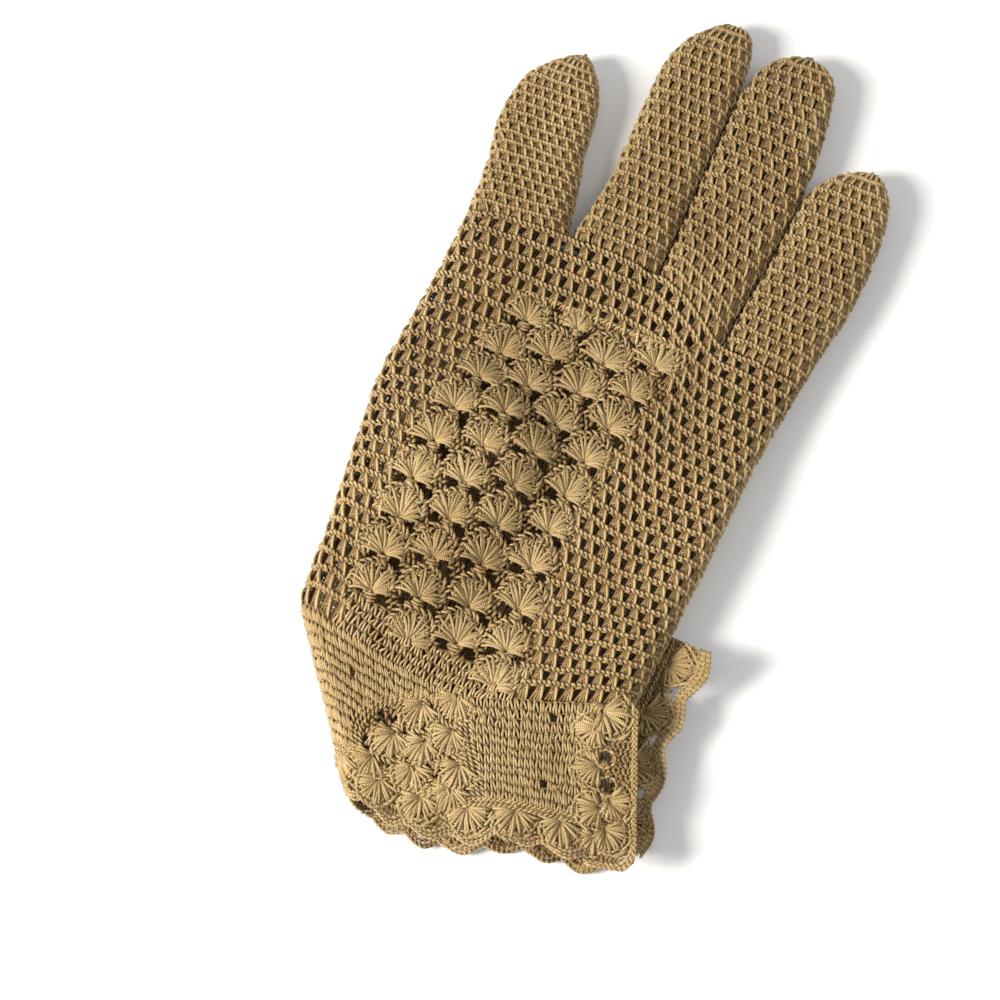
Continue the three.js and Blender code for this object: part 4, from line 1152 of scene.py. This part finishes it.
def vent_edging_back():
    """Shells down the back layer's vent edge, some open outwards and some inwards, with rings round the
    eyelets, a chain along the cuff's end and a braid round the edge."""
    work = Work(53)
    p, q = grid_over(BACK_END - 0.6, PALM_BREADTH - 0.6, -CUFF_LENGTH + 1.0, -0.2)
    over = (p < PALM_BREADTH - 2.0) | (q > -CUFF_LENGTH + 2.2)
    # A second layer of ground strands, set over a little and kept further from the eyelets, is painted
    # darker as shade between the first layer's strands
    for shift, wider, tone in ((0, 0, -0.7), (0.6, 0.5, -1.2)):
        holes = [[*hole, VENT_HOLE + wider] for hole in VENT_HOLES]
        lay_ground(work, vent_cloth, p[over] + shift, q[over] - shift, holes, tone)
    for hole in VENT_HOLES:
        lay_ring(work, vent_cloth, *hole, VENT_HOLE + 0.3)
    for p, q, turn, size in VENT_SHELLS:
        base = [[BACK_END + p, q]]
        lay_shells(work, vent_cloth, base, turn, VENT_SHELL, size, rise=1.0, rim=SMOOTH_RIM)
    along = np.linspace(-0.8, -CUFF_LENGTH + 2.0, 60)
    lay_chain(work, vent_cloth, places_at(BACK_END + 0.4, along))
    outer = PALM_BREADTH + 0.4
    turn = np.linspace(0, math.pi / 2, 20)
    edge = np.concatenate([
        places_at(outer, np.linspace(-0.8, -CUFF_LENGTH + CORNER, 40)),
        places_at(outer - CORNER * (1 - np.cos(turn)), -CUFF_LENGTH + CORNER * (1 - np.sin(turn))),
        [[BACK_END, -CUFF_LENGTH]],
    ])
    lay_braid(work, vent_cloth, edge, [-0.65, 0.55])
    return work


def vent_edging_palm():
    """Shells down the palm layer's vent edge, opening outwards, with a chain along their knots and two
    braids along their rims."""
    work = Work(54)
    places = FLAP_LENGTH * (1 - (np.arange(FLAP_SCALLOPS) + 0.5) / FLAP_SCALLOPS)
    p, q = grid_over(-2.4, FLAP_WIDTH * 0.84, 0.8, FLAP_LENGTH - 0.8)
    middles = (places[:-1] + places[1:]) / 2
    sides = (-1.6, 0, 1.6)
    holes = [[FLAP_WIDTH * 0.6, middle + side, VENT_HOLE] for middle in middles for side in sides]
    lay_ground(work, flap_cloth, p, q, holes)
    # Near the hand a second, darker layer of ground strands paints the shade of the hollow between the
    # border and the hand's edge
    inner = p < FLAP_WIDTH * 0.3
    lay_ground(work, flap_cloth, p[inner] + 0.6, q[inner] + 0.6, [], -1.2)
    lay_shells(work, flap_cloth, places_at(0.9, places), math.pi / 2, FLAP_SHELL, rim=SMOOTH_RIM)
    along = np.linspace(0.6, FLAP_LENGTH - 0.6, 90)
    lay_chain(work, flap_cloth, places_at(0.5, along))
    for share in (0.82, 0.97):
        lay_braid(work, flap_cloth, places_at(FLAP_WIDTH * share, along), [-0.85, 0])
    return work


piece("hand_back_net", hand_net(True), NET, "net", "hand")
piece("hand_palm_net", hand_net(False), NET, "net", "hand")
for finger in FINGERS:
    piece(finger + "_net", finger_net(finger), NET, "net", finger)
piece("thumb_net", thumb_net(), NET, "net", "thumb")
piece("panel_shells", shell_panel(), SHELLS, "shells", "shell_panel")
piece("cuff_stitches", cuff_close(), CLOSE, "close_stitch", "cuff_band")
piece("insert_shells", cuff_insert(), SHELLS, "shells", "cuff_insert")
piece("hem_shells", hem_edging(), SHELLS, "shells", "hem_edging")
piece("vent_back_shells", vent_edging_back(), SHELLS, "shells", "vent_edging_back")
piece("vent_palm_shells", vent_edging_palm(), SHELLS, "shells", "vent_edging_palm")


# Camera, floor and light

AZIMUTH = 23.0
ELEVATION = 70.0
LENS = 85.0
SENSOR = 36.0
MM_PER_PIXEL = 0.2339
IMAGE = 1000
DISTANCE = IMAGE * MM_PER_PIXEL / (SENSOR / LENS)
AIM = np.array([-8.75, 38.0, 9.3]) + SHIFT
FLOOR = 3.0
FLOOR_DROP = -0.0006
PAPER = (0.86, 0.86, 0.85, 1)
WHITE = (1, 1, 1, 1)


def look_from(obj, azimuth, elevation, distance):
    """Sets an object to look at the glove from a bearing and a height, in degrees."""
    turn, tilt = math.radians(azimuth), math.radians(elevation)
    back = [math.sin(turn) * math.cos(tilt), -math.cos(turn) * math.cos(tilt), math.sin(tilt)]
    obj.location = (AIM + np.array(back) * distance) * MM
    obj.rotation_euler = (math.pi / 2 - tilt, 0.0, turn)


def lamp(name, azimuth, elevation, distance, size, power, colour):
    """A soft square light."""
    data = bpy.data.lights.new(name, "AREA")
    data.size = size
    data.energy = power
    data.color = colour
    look_from(add_object(name, data), azimuth, elevation, distance)


camera_data = bpy.data.cameras.new("camera")
camera_data.lens = LENS
camera_data.sensor_width = SENSOR
camera_data.clip_start = 0.01
camera = add_object("camera", camera_data)
look_from(camera, AZIMUTH, ELEVATION, DISTANCE)
bpy.context.scene.camera = camera

floor_corners = [(x * FLOOR, y * FLOOR, FLOOR_DROP) for x, y in ((-1, -1), (1, -1), (1, 1), (-1, 1))]
floor_mesh = bpy.data.meshes.new("floor")
floor_mesh.from_pydata(floor_corners, [], [(0, 1, 2, 3)])
add_object("floor", floor_mesh)
paper = bpy.data.materials.new("paper")
paper.use_nodes = True
set_inputs(paper.node_tree.nodes["Principled BSDF"], {"Base Color": PAPER, "Roughness": 0.9})
floor_mesh.materials.append(paper)

lamp("key_light", azimuth=-50, elevation=36, distance=900, size=0.3, power=14.5, colour=(1, 0.97, 0.92))
lamp("fill_light", azimuth=120, elevation=50, distance=1200, size=0.9, power=4, colour=(0.95, 0.97, 1))
world = bpy.data.worlds.new("studio")
world.use_nodes = True
set_inputs(world.node_tree.nodes["Background"], {"Color": WHITE, "Strength": 0.45})
bpy.context.scene.world = world
bpy.context.scene.view_settings.view_transform = "Standard"
